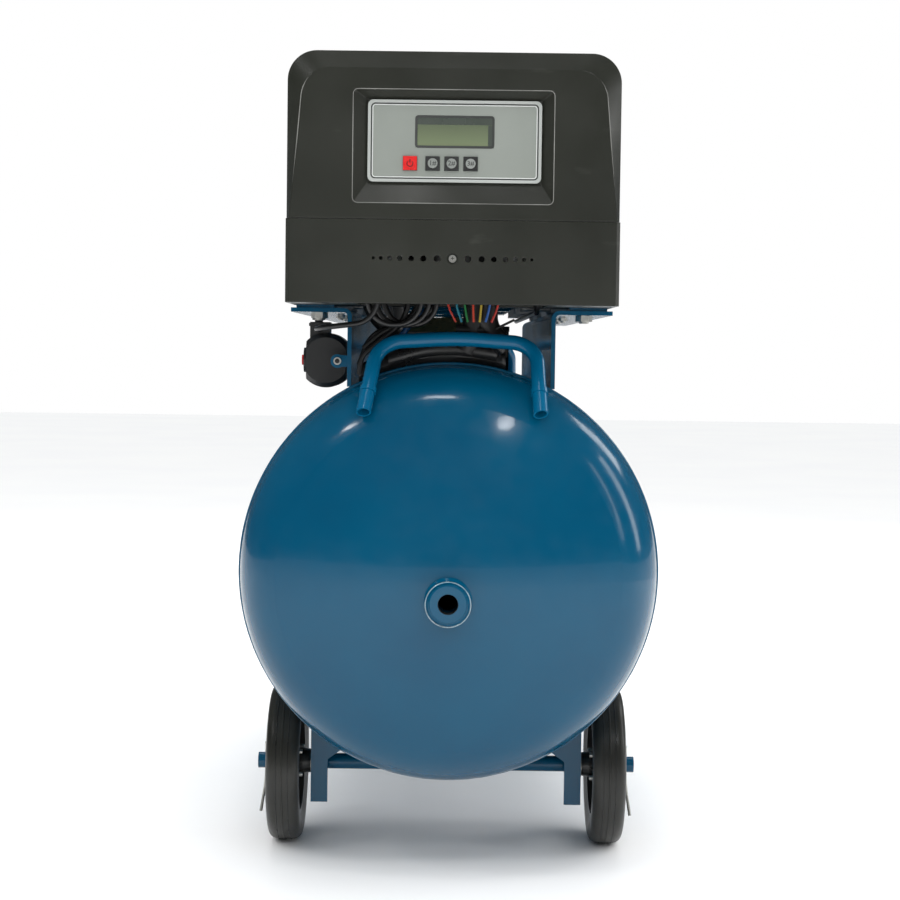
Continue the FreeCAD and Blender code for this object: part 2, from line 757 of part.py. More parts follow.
def lower_cover():
    """The lower half of the box: a tray with a cable opening and a row of vents."""
    body = doc.addObject("PartDesign::Body", "box_lower_cover")
    half = D["box_half"]
    depth = D["box_front"] - D["box_back"]
    height = D["box_seam"] - D["box_bottom"]
    wall = D["box_wall"]
    base = new_sketch(body, "lower_outline", "XY_Plane")
    draw(base, [(-half, depth), (-half, 4), (-half + 3.5, 0), (half - 3.5, 0), (half, 4),
                (half, depth)])
    pad(body, "lower_block", base, height)
    doc.recompute()
    inside = new_sketch(body, "lower_inside", "XY_Plane", height)
    draw(inside, rectangle(-half + wall, half - wall, wall, depth - 0.4))
    pocket(body, "lower_hollow", inside, height - wall)
    doc.recompute()
    floor = new_sketch(body, "lower_cable_opening", "XY_Plane", wall)
    draw(floor, rectangle(-88, 88, 14, 100))
    pocket(body, "lower_cables", floor, wall + 1)
    doc.recompute()
    vents = new_sketch(body, "lower_vents", "XZ_Plane")
    row = 587 - number(D["box_bottom"])
    for offset, width in ((0, 4.6), (14, 6), (26.5, 5.5), (37.5, 5), (48, 4.4), (57, 3.8),
                          (65, 3.2), (72, 2.6)):
        for side in ((1,) if offset == 0 else (-1, 1)):
            ring(vents, offset * side, row, width / 2)
    pocket(body, "lower_vent_row", vents, wall + 2)
    doc.recompute()
    place(body, 0, -D["box_front"], D["box_bottom"])
    rim = rod("lower_screw_seat", 4.7, 1.2, 0, -D["box_front"] - 0.01, 587, ALONG)
    feet = []
    for side in (-1, 1):
        for count, station in enumerate((-362, -345)):
            feet.append(rod("lower_foot_hole_%d_%d" % (side, count), D["bolt_radius"] + 0.4, 20,
                            127 * side, station, 540))
    return less("box_lower_cover", body, rim, *feet)


def box_spacers():
    """Strips between the deck and the box."""
    things = []
    for side in (-1, 1):
        low_x, high_x = (112, 148) if side > 0 else (-148, -112)
        strip = block("spacer_strip_%d" % side, (low_x, high_x), (-371, -321),
                      (D["deck_top"] + 0.1, D["box_bottom"] - 0.1))
        holes = [rod("spacer_hole_%d_%d" % (side, count), D["bolt_radius"] + 0.4, 10,
                     127 * side, station, 540) for count, station in enumerate((-362, -345))]
        things.append(less("spacer_%d" % side, strip, *holes))
    return group("box_spacers", things)


def back_panel():
    """The flat rear panel that closes the box."""
    body = doc.addObject("PartDesign::Body", "box_back")
    outline = new_sketch(body, "back_outline")
    half = D["box_half"] - 4
    top = D["box_top"] - 4
    corner = D["box_corner"] - 4
    c = 0.5 ** 0.5
    low = D["box_bottom"] + 4
    draw(outline, [
        (-half, low), (half, low), (half, top - corner),
        (half - corner, top, half - corner + corner * c, top - corner + corner * c, corner),
        (corner - half, top),
        (-half, top - corner, corner - half - corner * c, top - corner + corner * c, corner),
    ])
    pad(body, "back_plate", outline, 2)
    return place(body, 0, -D["box_back"] - 1, 0)


def cover_screw():
    shank = rod("screw_shank", 2, 18, 0, -D["box_front"] + 0.9, 587, ALONG)
    head = rod("screw_head", 3.4, 1.5, 0, -D["box_front"] - 0.4, 587, ALONG)
    slot = block("screw_slot", (-3, 3), (-D["box_front"] - 0.5, -D["box_front"] + 0.2),
                 (586.5, 587.5))
    cross = block("screw_cross", (-0.5, 0.5), (-D["box_front"] - 0.5, -D["box_front"] + 0.4),
                  (584, 590))
    return less("box_screw", joined("screw_body", shank, head), slot, cross)


def rounded_plate(name, half_width, half_height, corner, y, thickness):
    """A plate with rounded corners centred on the controller, its front at y."""
    body = doc.addObject("PartDesign::Body", name)
    outline = new_sketch(body, name + "_outline")
    c = corner * 0.5 ** 0.5
    w = half_width
    h = half_height
    draw(outline, [
        (corner - w, -h, corner - w - c, corner - h - c, corner), (w - corner, -h),
        (w, corner - h, w - corner + c, corner - h - c, corner), (w, h - corner),
        (w - corner, h, w - corner + c, h - corner + c, corner), (corner - w, h),
        (-w, h - corner, corner - w - c, h - corner + c, corner), (-w, corner - h),
    ])
    pad(body, name + "_plate", outline, thickness, back=True)
    return place(body, D["panel_shift"], y, D["panel_middle"])


def controller():
    floor = -(D["box_front"] - D["recess_depth"])
    w = D["panel_half_width"]
    h = D["panel_half_height"]
    bezel = rounded_plate("bezel_plate", w, h, 5, floor - 2.8, 2.7)
    can = block("controller_can", (D["panel_shift"] - 74, D["panel_shift"] + 74),
                (floor - 1, floor + 22), (D["panel_middle"] - 31, D["panel_middle"] + 31))
    can_hole = block("controller_can_hole", (D["panel_shift"] - 71, D["panel_shift"] + 71),
                     (floor - 2, floor + 25), (D["panel_middle"] - 29, D["panel_middle"] + 29))
    back_ring = rounded_plate("bezel_seat", w - 2.7, h - 2.7, 4, floor - 3.5, 3.4)
    frame = less("controller_frame", joined("controller_moulding", bezel, can), can_hole,
                 back_ring)
    panel = rounded_plate("panel_plate", w - 3, h - 3, 3.7, floor - 2.2, 1.9)
    tools = [block("panel_lcd_hole", (D["panel_shift"] - 35.6, D["panel_shift"] + 35.6),
                   (floor - 4, floor + 4), (688, 716.4))]
    for offset in button_offsets():
        tools.append(block("panel_key_hole_%d" % (offset + 50),
                           (D["panel_shift"] + offset - D["button_size"] / 2 - D["gap"],
                            D["panel_shift"] + offset + D["button_size"] / 2 + D["gap"]),
                           (floor - 4, floor + 4),
                           (D["button_height"] - D["button_size"] / 2 - D["gap"],
                            D["button_height"] + D["button_size"] / 2 + D["gap"])))
    panel_cut = less("controller_panel", panel, *tools)
    lcd = less("lcd_window",
               block("lcd_block", (D["panel_shift"] - 35.3, D["panel_shift"] + 35.3),
                     (floor - 2, floor + 6), (688.3, 716.1)),
               block("lcd_face", (D["panel_shift"] - 32.4, D["panel_shift"] + 32.4),
                     (floor - 3, floor - 1), (691.3, 713.1)))
    board = block("controller_board", (D["panel_shift"] - 70, D["panel_shift"] + 70),
                  (floor + 7, floor + 8.6), (D["panel_middle"] - 28, D["panel_middle"] + 28))
    return frame, panel_cut, lcd, board


def button_offsets():
    return (-40.4, -19.8, -2.6, 14.7)


def button(name, offset):
    """A square key cap with a round raised key."""
    floor = -(D["box_front"] - D["recess_depth"])
    half = D["button_size"] / 2
    middle = D["panel_shift"] + offset
    cap = block(name + "_cap", (middle - half, middle + half), (floor - 4.2, floor + 3),
                (D["button_height"] - half, D["button_height"] + half))
    key = rod(name + "_key", 4.7, 1, middle, floor - 4.9, D["button_height"], ALONG)
    stem = rod(name + "_stem", 2, 4, middle, floor + 2.5, D["button_height"], ALONG)
    return joined(name, cap, key, less(name + "_stem_cut", stem,
                  block(name + "_trim", (middle - 3, middle + 3), (floor + 5.2, floor + 9),
                        (D["button_height"] - 3, D["button_height"] + 3))))


def capacitors():
    things = []
    for count in (-1, 0, 1):
        can = rod("capacitor_can_%d" % count, 18, 66, count * 60, -345, 552)
        stud = rod("capacitor_stud_%d" % count, 4, 6, count * 60, -345, 617)
        things.append(joined("capacitor_%d" % (count + 1), can, stud))
    return group("run_capacitors", things)


# ---------------------------------------------------------------- pumps

def pump_stations():
    return [D["pump_first"] + D["pump_pitch"] * count for count in range(3)]


def motor(name, station):
    half = D["motor_half"]
    radius = D["motor_radius"]
    return turned(name, [
        (30, -half), (radius - 8, -half), (radius - 4, -half + 6), (radius - 4, -34),
        (radius, -32), (radius, 32), (radius - 4, 34), (radius - 4, half - 6),
        (radius - 8, half), (30, half)], 0, station, D["motor_height"], ACROSS)


def crankcase(name, station, side):
    """A casting with a foot on the deck, a crank chamber and a seat for the cylinder."""
    def span(low, high):
        return (low, high) if side > 0 else (-high, -low)
    inner = D["motor_half"] + 0.5
    outer = D["case_outer"]
    height = D["motor_height"]
    foot = block(name + "_foot", span(D["rail_inner"] + 5, outer), (station - 52, station + 52),
                 (D["deck_top"] + 0.3, D["deck_top"] + 8.3))
    tower = block(name + "_tower", span(inner, outer), (station - 36, station + 36),
                  (D["deck_top"] + 3, D["cylinder_bottom"] - 0.3))
    drum = rod(name + "_drum", 50, outer - inner, inner if side > 0 else -outer, station,
               height, ACROSS)
    chamber = rod(name + "_chamber", 42, 60, inner + 8 if side > 0 else -inner - 68, station,
                  height, ACROSS)
    bearing = rod(name + "_bearing", D["shaft_radius"] + 0.08, 90,
                  60 if side > 0 else -150, station, height, ACROSS)
    throat = rod(name + "_throat", D["bore_radius"] - 1, 60, D["cylinder_station"] * side,
                 station, height + 10)
    holes = [rod("%s_hole_%d" % (name, shift), D["pump_bolt_radius"] + 0.4, 20,
                 D["pump_bolt_line"] * side, station + shift, D["deck_top"] - 6)
             for shift in (-40, 40)]
    return less(name, joined(name + "_casting", foot, tower, drum), chamber, bearing, throat,
                *holes)


def cylinder(name, station, side):
    low = D["cylinder_bottom"]
    tall = D["cylinder_top"] - low
    fins = [(D["bore_radius"], 0), (33, 0)]
    for count in range(5):
        start = 8 + count * 9
        fins += [(31, start), (37, start + 0.5), (37, start + 3), (31, start + 3.5)]
    fins += [(33, tall), (D["bore_radius"], tall)]
    return turned(name, fins, D["cylinder_station"] * side, station, low)


def cylinder_head(name, station, side):
    centre = D["cylinder_station"] * side
    low = D["cylinder_top"] + 0.3
    base = block(name + "_base", (centre - 38, centre + 38), (station - 38, station + 38),
                 (low, low + 20))
    pieces = [base]
    for count in range(5):
        x = centre - 30 + count * 15
        pieces.append(block("%s_fin_%d" % (name, count), (x - 2, x + 2),
                            (station - 34, station + 34), (low + 18, D["head_top"])))
    pieces.append(rod(name + "_outlet", 8, 10, -85 if side < 0 else 85, station - 47,
                      low + 10, ALONG))
    return joined(name, *pieces)


def fan_cover(name, station, side):
    start = (D["case_outer"] + 0.3) * side
    depth = D["fan_outer"] - D["case_outer"] - 0.3
    radius = D["fan_radius"]
    body = turned(name, [
        (radius - 2.5, 0), (radius, 0), (radius, depth - 5), (radius - 5, depth), (10, depth),
        (10, depth - 2.5), (radius - 7, depth - 2.5), (radius - 2.5, depth - 7)],
        start, station, D["motor_height"], ACROSS * side)
    doc.recompute()
    slot = new_sketch(body, name + "_slot", "XY_Plane")
    draw(slot, [(18, -3), (41, -5), (41, 5), (18, 3)])
    cut = pocket(body, name + "_cut", slot, 80, middle=True)
    pattern = body.newObject("PartDesign::PolarPattern", name + "_slots")
    pattern.Originals = [cut]
    pattern.Axis = (slot, ["N_Axis"])
    pattern.Angle = 360
    pattern.Occurrences = 10
    body.Tip = pattern
    return body


def intake_filter(name, station, side):
    start = (D["cylinder_station"] - 39) * side
    return turned(name, [(0, 0), (6, 0), (6, 5), (14, 5), (14, 26), (11, 29), (0, 29)],
                  start, station, D["cylinder_top"] + 16, ACROSS * -side)


def rotor(name, station):
    """Shaft, rotor core, eccentrics and the two fans, turning as one."""
    height = D["motor_height"]
    pieces = [rod(name + "_shaft", D["shaft_radius"], 296, -148, station, height, ACROSS),
              rod(name + "_core", 29.4, 96, -48, station, height, ACROSS)]
    for side in (-1, 1):
        start = 90.5 if side > 0 else -106.5
        pieces.append(rod("%s_eccentric_%d" % (name, side), 13, 16, start, station, height + 4,
                          ACROSS))
        pieces.append(rod("%s_fan_hub_%d" % (name, side), 14, 16,
                          130 if side > 0 else -146, station, height, ACROSS))
        for blade in range(6):
            turn = Rotation(ACROSS, 60 * blade)
            vane = doc.addObject("Part::Box", "%s_blade_%d_%d" % (name, side, blade))
            vane.Length = 14
            vane.Width = 2
            vane.Height = 37
            spot = turn.multVec(Vector(0, -1, 12))
            place(vane, 131 if side > 0 else -145, station + spot.y, height + spot.z, turn)
            pieces.append(vane)
    return joined(name, *pieces)


def pistons(name, station):
    things = []
    for side in (-1, 1):
        x = D["cylinder_station"] * side
        crown = rod("%s_crown_%d" % (name, side), D["bore_radius"] - 0.06, 12, x, station, 686)
        rod_bar = block("%s_rod_%d" % (name, side), (x - 4, x + 4), (station - 8, station + 8),
                        (634, 688))
        things.append(joined("%s_%d" % (name, side + 1), crown, rod_bar))
    return group(name, things)


# ---------------------------------------------------------------- air line

CHECK_PORTS = ((-305, 516), (-325, 502), (-345, 502))


def check_valve():
    """Brass check valve on the tank with the three hose tails."""
    x, y = 45, -325
    body = rod("check_body", 11, 40, x, y, 484)
    cap = hexagon("check_cap", 20, 5, x, y, 523)
    pieces = [body, cap]
    for count, (station, height) in enumerate(CHECK_PORTS):
        pieces.append(rod("check_tail_%d" % count, 4, 22, 18, station, height, ACROSS))
    pieces.append(block("check_block", (34, 54), (-352, -298), (498, 522)))
    trim = rod("check_trim", D["tank_radius"] + D["gap"], 120, 0, -400, D["tank_height"], ALONG)
    bore = rod("check_bore", 5, 30, x, y, 480)
    return less("check_valve", joined("check_pieces", *pieces), trim, bore)


def air_hoses():
    start = -85
    low = CHECK_PORTS[1][1]
    heads = [number(station) - 47.5 for station in pump_stations()]
    outlet = number(D["cylinder_top"]) + 10.3
    radius = D["hose_radius"]
    hoses = [
        swept("hose_1", [(start, heads[0], outlet), (start, -302, outlet), (start, -302, low + 14.5),
                         (18.5, -305, low + 14)], radius),
        swept("hose_2", [(start, heads[1], outlet), (start, -102, outlet), (-51, -104, low),
                         (-51, -325, low + 0.5), (18.5, -325, low)], radius),
        swept("hose_3", [(start, heads[2], outlet), (start, 113, outlet), (-68, 111, low),
                         (-68, -345, low + 0.5), (18.5, -345, low)], radius),
    ]
    sockets = [rod("hose_socket_%d" % count, 4.05, 40, 17, station, height, ACROSS)
               for count, (station, height) in enumerate(CHECK_PORTS)]
    return group("air_hoses", [
        less("hose_cut_%d" % count, hose, socket)
        for count, (hose, socket) in enumerate(zip(hoses, sockets))])


def unloader_tube():
    return swept("unloader_tube", [(-14, -366.3, 562), (-20, -362, 543), (-34, -356, 538),
                                   (-60, -350, 500)], 3)


def manifold():
    """Brass block on the rear of the tank that carries the outlet, gauge and safety valve."""
    bar = block("manifold_bar", (-60, 60), (322, 348),
                (D["air_line"] - 13, D["air_line"] + 13))
    riser = rod("manifold_riser", 13, D["air_line"] - 497, 0, 335, 488)
    trim = rod("manifold_trim", D["tank_radius"] + D["gap"], 80, 0, 300, D["tank_height"], ALONG)
    bore = rod("manifold_bore", 5, D["air_line"] - 479, 0, 335, 480)
    gallery = rod("manifold_gallery", 5, 110, -50, 335, D["air_line"], ACROSS)
    return less("manifold", joined("manifold_pieces", bar, riser), trim, bore, gallery)


def pressure_gauge():
    case = turned("gauge_case", [(0, 0), (24, 0), (25, 1.5), (25, 22), (23, 23.5), (23, 21),
                                 (0, 21)], 42, 320, D["air_line"] + 53, ALONG)
    stem = rod("gauge_stem", 6, 42, 42, 335, D["air_line"] + 13.3)
    return joined("pressure_gauge", case, stem)


def safety_valve():
    return turned("safety_valve", [(0, 0), (7, 0), (7, 8), (10, 8), (10, 20), (8, 22), (8, 40),
                                   (3, 40), (3, 44), (1.2, 44), (1.2, 30), (0, 30)],
                  -42, 335, D["air_line"] + 13.3)


def safety_ring():
    """Pull ring and stem of the safety valve."""
    loop = doc.addObject("Part::Torus", "safety_loop")
    loop.Radius1 = 10
    loop.Radius2 = 1.2
    place(loop, -42, 335, D["air_line"] + 70, towards(ALONG))
    stem = rod("safety_stem", 1, 18, -42, 335, D["air_line"] + 44)
    return joined("safety_ring", loop, stem)


def outlet_valve():
    """Ball valve facing the rear, with a threaded mouth."""
    body = turned("outlet_turned", [
        (6, 0), (9, 0), (9, 12), (15, 14), (15, 36), (12, 38), (12, 56), (9.3, 56), (9.3, 42),
        (6, 40)], 0, 348.3, D["air_line"], ALONG)
    stem = rod("outlet_stem", 4, 8, 0, 373, D["air_line"] + 14)
    return joined("outlet_valve_body", body, stem)


def outlet_lever():
    plate = block("lever_plate", (-7, 7), (366, 440), (D["air_line"] + 22.3, D["air_line"] + 25))
    hub = rod("lever_hub", 8, 6, 0, 373, D["air_line"] + 22.3)
    grip = block("lever_grip", (-9, 9), (390, 442),
                 (D["air_line"] + 21.5, D["air_line"] + 26.5))
    return joined("outlet_lever", plate, hub, grip)


def drain_cock():
    body = turned("drain_body", [(2.5, 0), (9, 0), (9, 12), (5, 14), (5, 26), (2.5, 26)],
                  0, 0, 92.3, UP * -1)
    trim = rod("drain_trim", D["tank_radius"] + D["gap"], 60, 0, -30, D["tank_height"], ALONG)
    neck = rod("drain_neck", 7, 10, 0, 0, 88)
    bore = rod("drain_bore", 2.5, 30, 0, 0, 60)
    return less("drain_cock", joined("drain_pieces", body, neck), trim, bore)


def drain_knob():
    ring_body = turned("drain_ring", [(5.08, 0), (11, 0), (12, 1), (12, 8), (5.08, 8)],
                       0, 0, 77.3, UP * -1)
    wing = block("drain_wing", (-18, -11), (-1.5, 1.5), (69.3, 77.3))
    wing_two = block("drain_wing_two", (11, 18), (-1.5, 1.5), (69.3, 77.3))
    return joined("drain_knob", ring_body, wing, wing_two)


def pressure_switch():
    """Flat-sided round switch housing hung by its neck from the left rail."""
    x, y, z = -121.5, -343, 493
    drum = turned("switch_drum", [(0, 0), (22, 0), (26.5, 5), (26.5, 44), (22, 48), (0, 48)],
                  x, y, z, ALONG)
    sides = [block("switch_side_%d" % count, (x + low, x + low + 20), (y - 5, y + 60),
                   (z - 40, z + 40)) for count, low in enumerate((-39.2, 19.2))]
    housing = less("switch_housing", drum, *sides)
    neck = block("switch_neck", (x - 16, x + 3), (y + 8, y + 38), (z + 20, 530))
    collar = block("switch_collar", (x - 17, x + 4), (y + 7, y + 39), (526, 529))
    fitting = rod("switch_fitting", 4, 6, x - 8, y + 16, 529)
    nut = hexagon("switch_nut", 11, 5, x - 8, y + 16, 532)
    dial = rod("switch_dial", 12, 6, x - 22.5, y + 23, z, ACROSS)
    hole = rod("switch_knob_hole", 5.2, 12, x - 24, y + 23, z, ACROSS)
    return less("pressure_switch",
                joined("switch_pieces", housing, neck, collar, fitting, nut, dial), hole)


def switch_button():
    return rod("switch_button", 5, 9, -121.5 - 24.6, -320, 493, ACROSS)


# ---------------------------------------------------------------- wiring

def wire_loom():
    """Taped sleeves of spare wire under the box, tied together, lying on the tank."""
    left = swept("sleeve_left", [(8, -369, 550), (8, -369, 522), (-30, -369, 503),
                                 (-66, -369, 496)], 9.5)
    middle = rod("sleeve_tie", 5, 34, 4, -373.5, 524, ACROSS)
    right = swept("sleeve_right", [(33, -369, 550), (33, -369, 526), (52, -369, 505)], 11)
    centre = swept("sleeve_centre", [(21, -369, 550), (21, -369, 520), (12, -369, 503)], 10)
    lying = swept("sleeve_lying", [(-60, -366, 494), (-24, -366, 505), (12, -366, 506),
                                   (44, -366, 501)], 9)
    tail = rod("tie_tail", 1.2, 22, 40, -377.5, 524, Vector(1, 0, 0.5))
    return joined("wire_loom", left, middle, right, centre, lying, tail)


def loom_wires():
    """Seven thin wires that hang from the box in front of the sleeves."""
    things = []
    for count in range(7):
        x = -4 + count * 8
        foot = 4 + count * 5.6
        front = -383.2 - count % 2 * 3.2
        things.append(swept("wire_%d" % count, [(x, front, 575), (x, front, 546),
                                                (foot, front, 531)], D["wire_radius"]))
    return group("loom_wires", things)


def power_cables():
    """Cables that hang in loops under the box, and the one that runs back to the motors."""
    things = []
    for count in range(3):
        y = -397 + count * 6
        things.append(swept("cable_%d" % count, [
            (-84 + 6 * count, y, 575), (-74 + 8 * count, y, 527), (-32 + 7 * count, y, 528),
            (-26 + 8 * count, y, 575)], D["cable_radius"]))
    things.append(swept("cable_3", [(-70, -404, 575), (-70, -404, 530), (-128, -404, 523),
                                    (-128, -336.5, 523)], D["cable_radius"]))
    crossing = (((-40, 575), (-42, 533), (-86, 497), (-87, 480)),
                ((-8, 575), (-20, 535), (-62, 524), (-84, 505)),
                ((-28, 575), (-34, 535), (-78, 518), (-88, 489)))
    for count, line in enumerate(crossing):
        y = -378.4 + count * 5.7
        things.append(swept("cable_%d" % (count + 4), [(x, y, z) for x, z in line],
                            D["cable_radius"]))
    things.append(swept("cable_7", [(81.5, -366, 575), (81.5, -366, 541.5),
                                    (81.5, number(pump_stations()[2]), 541.5)],
                        D["cable_radius"]))
    return group("power_cables", things)


# ---------------------------------------------------------------- the assembly

def build():
    nodes = {}
    nodes["tank_shell"] = tank_shell()
    nodes["tank_head_front"] = tank_head("tank_head_front", ALONG * -1)
    nodes["tank_head_rear"] = tank_head("tank_head_rear", ALONG)
    nodes["port_bosses"] = group("port_bosses", [port_boss("boss_front", ALONG * -1),
                                                 port_boss("boss_rear", ALONG)])
    nodes["handle_front"] = handle("handle_front", 1)
    nodes["handle_rear"] = handle("handle_rear", -1)
    nodes["rail_left"] = rail("rail_left", -1)
    nodes["rail_right"] = rail("rail_right", 1)
    for label, side in (("left", -1), ("right", 1)):
        nodes["tyre_" + label] = tyre("tyre_" + label, side)
        nodes["wheel_rim_" + label] = wheel_rim("wheel_rim_" + label, side)
    nodes["legs_front"] = group("legs_front", [leg("leg_front_left", -1, -1),
                                               leg("leg_front_right", 1, -1)])
    nodes["legs_rear"] = group("legs_rear", [leg("leg_rear_left", -1, 1),
                                             leg("leg_rear_right", 1, 1)])
    nodes["rubber_feet"] = group("rubber_feet", [rubber_foot("foot_left", -1),
                                                 rubber_foot("foot_right", 1)])
    nodes["frame_bolts"] = frame_bolts()
    nodes["wheel_axle"] = axle()
    nodes["axle_fasteners"] = group("axle_fasteners", [axle_washers(), split_pins()])
    nodes["box_upper_cover"] = upper_cover()
    nodes["box_lower_cover"] = lower_cover()
    nodes["frame_fittings"] = group("frame_fittings", [box_spacers(), earth_lug()])
    nodes["box_back"] = back_panel()
    nodes["box_screw"] = cover_screw()
    (nodes["controller_frame"], nodes["controller_panel"], nodes["lcd_window"],
     nodes["controller_board"]) = controller()
    names = ("power_button", "pump_one_button", "pump_two_button", "pump_three_button")
    for name, offset in zip(names, button_offsets()):
        nodes[name] = button(name, offset)
    nodes["run_capacitors"] = capacitors()
    nodes["wire_loom"] = wire_loom()
    nodes["loom_wires"] = loom_wires()
    nodes["power_cables"] = power_cables()
    nodes["air_hoses"] = air_hoses()
    nodes["unloader_tube"] = unloader_tube()
    nodes["check_valve"] = check_valve()
    nodes["manifold"] = manifold()
    nodes["pressure_gauge"] = pressure_gauge()
    nodes["safety_valve"] = safety_valve()
    nodes["safety_ring"] = safety_ring()
    nodes["outlet_valve_body"] = outlet_valve()
    nodes["outlet_lever"] = outlet_lever()
    nodes["drain_cock"] = drain_cock()
    nodes["drain_knob"] = drain_knob()
    nodes["pressure_switch"] = pressure_switch()
    nodes["switch_button"] = switch_button()
    makers = {"crankcases": crankcase, "cylinders": cylinder, "cylinder_heads": cylinder_head,
              "fan_covers": fan_cover, "intake_filters": intake_filter}
    stations = pump_stations()
    nodes["motors"] = group("motors", [motor("motor_%d" % count, station)
                                       for count, station in enumerate(stations)])
    for name, maker in makers.items():
        nodes[name] = group(name, [maker("%s_%d_%d" % (name, count, side + 1), station, side)
                                   for count, station in enumerate(stations)
                                   for side in (-1, 1)])
    for word, station in zip(("one", "two", "three"), stations):
        nodes["rotor_" + word] = rotor("rotor_" + word, station)
        nodes["pistons_" + word] = pistons("pistons_" + word, station)
    return nodes


def export(nodes):
    """Check every object and write one STEP file for each node."""
    os.makedirs("parts", exist_ok=True)
    for thing in doc.Objects:
        if "Invalid" in thing.State or "Error" in thing.State:
            print("BAD STATE", thing.Label, thing.State)
    for name, thing in nodes.items():
        thing.Label = name
        shape = thing.Shape
        if shape.isNull() or not shape.isValid():
            print("BAD SHAPE", name)
            continue
        box = shape.optimalBoundingBox(False, False)
        print("%-20s %d solids %9.0f mm3  x %.1f %.1f  y %.1f %.1f  z %.1f %.1f" % (
            name, len(shape.Solids), shape.Volume, box.XMin, box.XMax, box.YMin, box.YMax,
            box.ZMin, box.ZMax))
        shape.exportStep("parts/%s.step" % name)
    print(len(nodes), "nodes")


NODES = build()
doc.recompute()
export(NODES)
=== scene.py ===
import math
import json

import bpy
from mathutils import Matrix, Vector


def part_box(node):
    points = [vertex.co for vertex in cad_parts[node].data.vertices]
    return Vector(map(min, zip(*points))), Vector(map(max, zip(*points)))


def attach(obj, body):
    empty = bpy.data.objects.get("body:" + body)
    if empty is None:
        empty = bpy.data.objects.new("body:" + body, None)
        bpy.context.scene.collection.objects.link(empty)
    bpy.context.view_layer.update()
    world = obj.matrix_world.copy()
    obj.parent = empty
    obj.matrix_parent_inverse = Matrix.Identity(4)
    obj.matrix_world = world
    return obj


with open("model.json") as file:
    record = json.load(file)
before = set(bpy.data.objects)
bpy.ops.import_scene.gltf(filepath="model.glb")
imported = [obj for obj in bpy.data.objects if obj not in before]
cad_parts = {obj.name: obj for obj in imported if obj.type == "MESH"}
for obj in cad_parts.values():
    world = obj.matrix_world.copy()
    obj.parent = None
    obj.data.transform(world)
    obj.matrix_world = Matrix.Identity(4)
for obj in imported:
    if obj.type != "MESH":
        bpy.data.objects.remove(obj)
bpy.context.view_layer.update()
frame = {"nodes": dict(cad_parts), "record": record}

# ------------------------------------------------------------------ finishes


def new_finish(name, colour, rough, metal=0.0, coat=0.0, coat_rough=0.1):
    """A principled surface with its plain numbers set on the shader itself."""
    finish = bpy.data.materials.new(name)
    finish.use_nodes = True
    shader = finish.node_tree.nodes["Principled BSDF"]
    shader.inputs["Base Color"].default_value = (*colour, 1)
    shader.inputs["Roughness"].default_value = rough
    shader.inputs["Metallic"].default_value = metal
    shader.inputs["Coat Weight"].default_value = coat
    shader.inputs["Coat Roughness"].default_value = coat_rough
    return finish, finish.node_tree, shader


def noise(tree, scale, detail=4.0, stretch=(1, 1, 1)):
    """Noise over the object's own coordinates, in metres."""
    place = tree.nodes.new("ShaderNodeTexCoord")
    mapping = tree.nodes.new("ShaderNodeMapping")
    mapping.inputs["Scale"].default_value = stretch
    grain = tree.nodes.new("ShaderNodeTexNoise")
    grain.inputs["Scale"].default_value = scale
    grain.inputs["Detail"].default_value = detail
    tree.links.new(place.outputs["Object"], mapping.inputs["Vector"])
    tree.links.new(mapping.outputs["Vector"], grain.inputs["Vector"])
    return grain.outputs["Fac"]


def spread(tree, source, low, high, start=0.3, stop=0.7):
    """Map a 0 to 1 signal onto low..high."""
    ramp = tree.nodes.new("ShaderNodeMapRange")
    ramp.inputs["From Min"].default_value = start
    ramp.inputs["From Max"].default_value = stop
    ramp.inputs["To Min"].default_value = low
    ramp.inputs["To Max"].default_value = high
    tree.links.new(source, ramp.inputs["Value"])
    return ramp.outputs["Result"]


def two_tones(tree, source, first, second, start=0.35, stop=0.65):
    """Blend two colours by a signal."""
    mix = tree.nodes.new("ShaderNodeMix")
    mix.data_type = "RGBA"
    mix.inputs["A"].default_value = (*first, 1)
    mix.inputs["B"].default_value = (*second, 1)
    tree.links.new(spread(tree, source, 0, 1, start, stop), mix.inputs["Factor"])
    return mix.outputs["Result"]


def bump(tree, shader, source, depth, strength):
    """Raise and lower a surface by a signal; depth is in metres."""
    node = tree.nodes.new("ShaderNodeBump")
    node.inputs["Distance"].default_value = depth
    node.inputs["Strength"].default_value = strength
    tree.links.new(source, node.inputs["Height"])
    tree.links.new(node.outputs["Normal"], shader.inputs["Normal"])


def enamel(name, colour, shade):
    """Glossy stove enamel over steel: soft orange peel, faint shade drift."""
    finish, tree, shader = new_finish(name, colour, 0.2, coat=0.2, coat_rough=0.05)
    shader.inputs["Specular IOR Level"].default_value = 0.28
    drift = noise(tree, 9.0, 3.0)
    tree.links.new(two_tones(tree, drift, colour, shade), shader.inputs["Base Color"])
    tree.links.new(spread(tree, noise(tree, 60.0, 5.0), 0.12, 0.24), shader.inputs["Roughness"])
    bump(tree, shader, noise(tree, 55.0, 2.0), 0.0004, 0.35)
    return finish


def moulded(name, colour, shade, rough=0.45, grain=900.0, depth=0.00008):
    """Moulded plastic with a fine grain and rubbed patches."""
    finish, tree, shader = new_finish(name, colour, rough)
    patches = noise(tree, 14.0, 6.0)
    tree.links.new(two_tones(tree, patches, colour, shade), shader.inputs["Base Color"])
    tree.links.new(spread(tree, noise(tree, 23.0, 8.0), rough - 0.08, rough + 0.1),
                   shader.inputs["Roughness"])
    bump(tree, shader, noise(tree, grain, 3.0), depth, 0.5)
    return finish


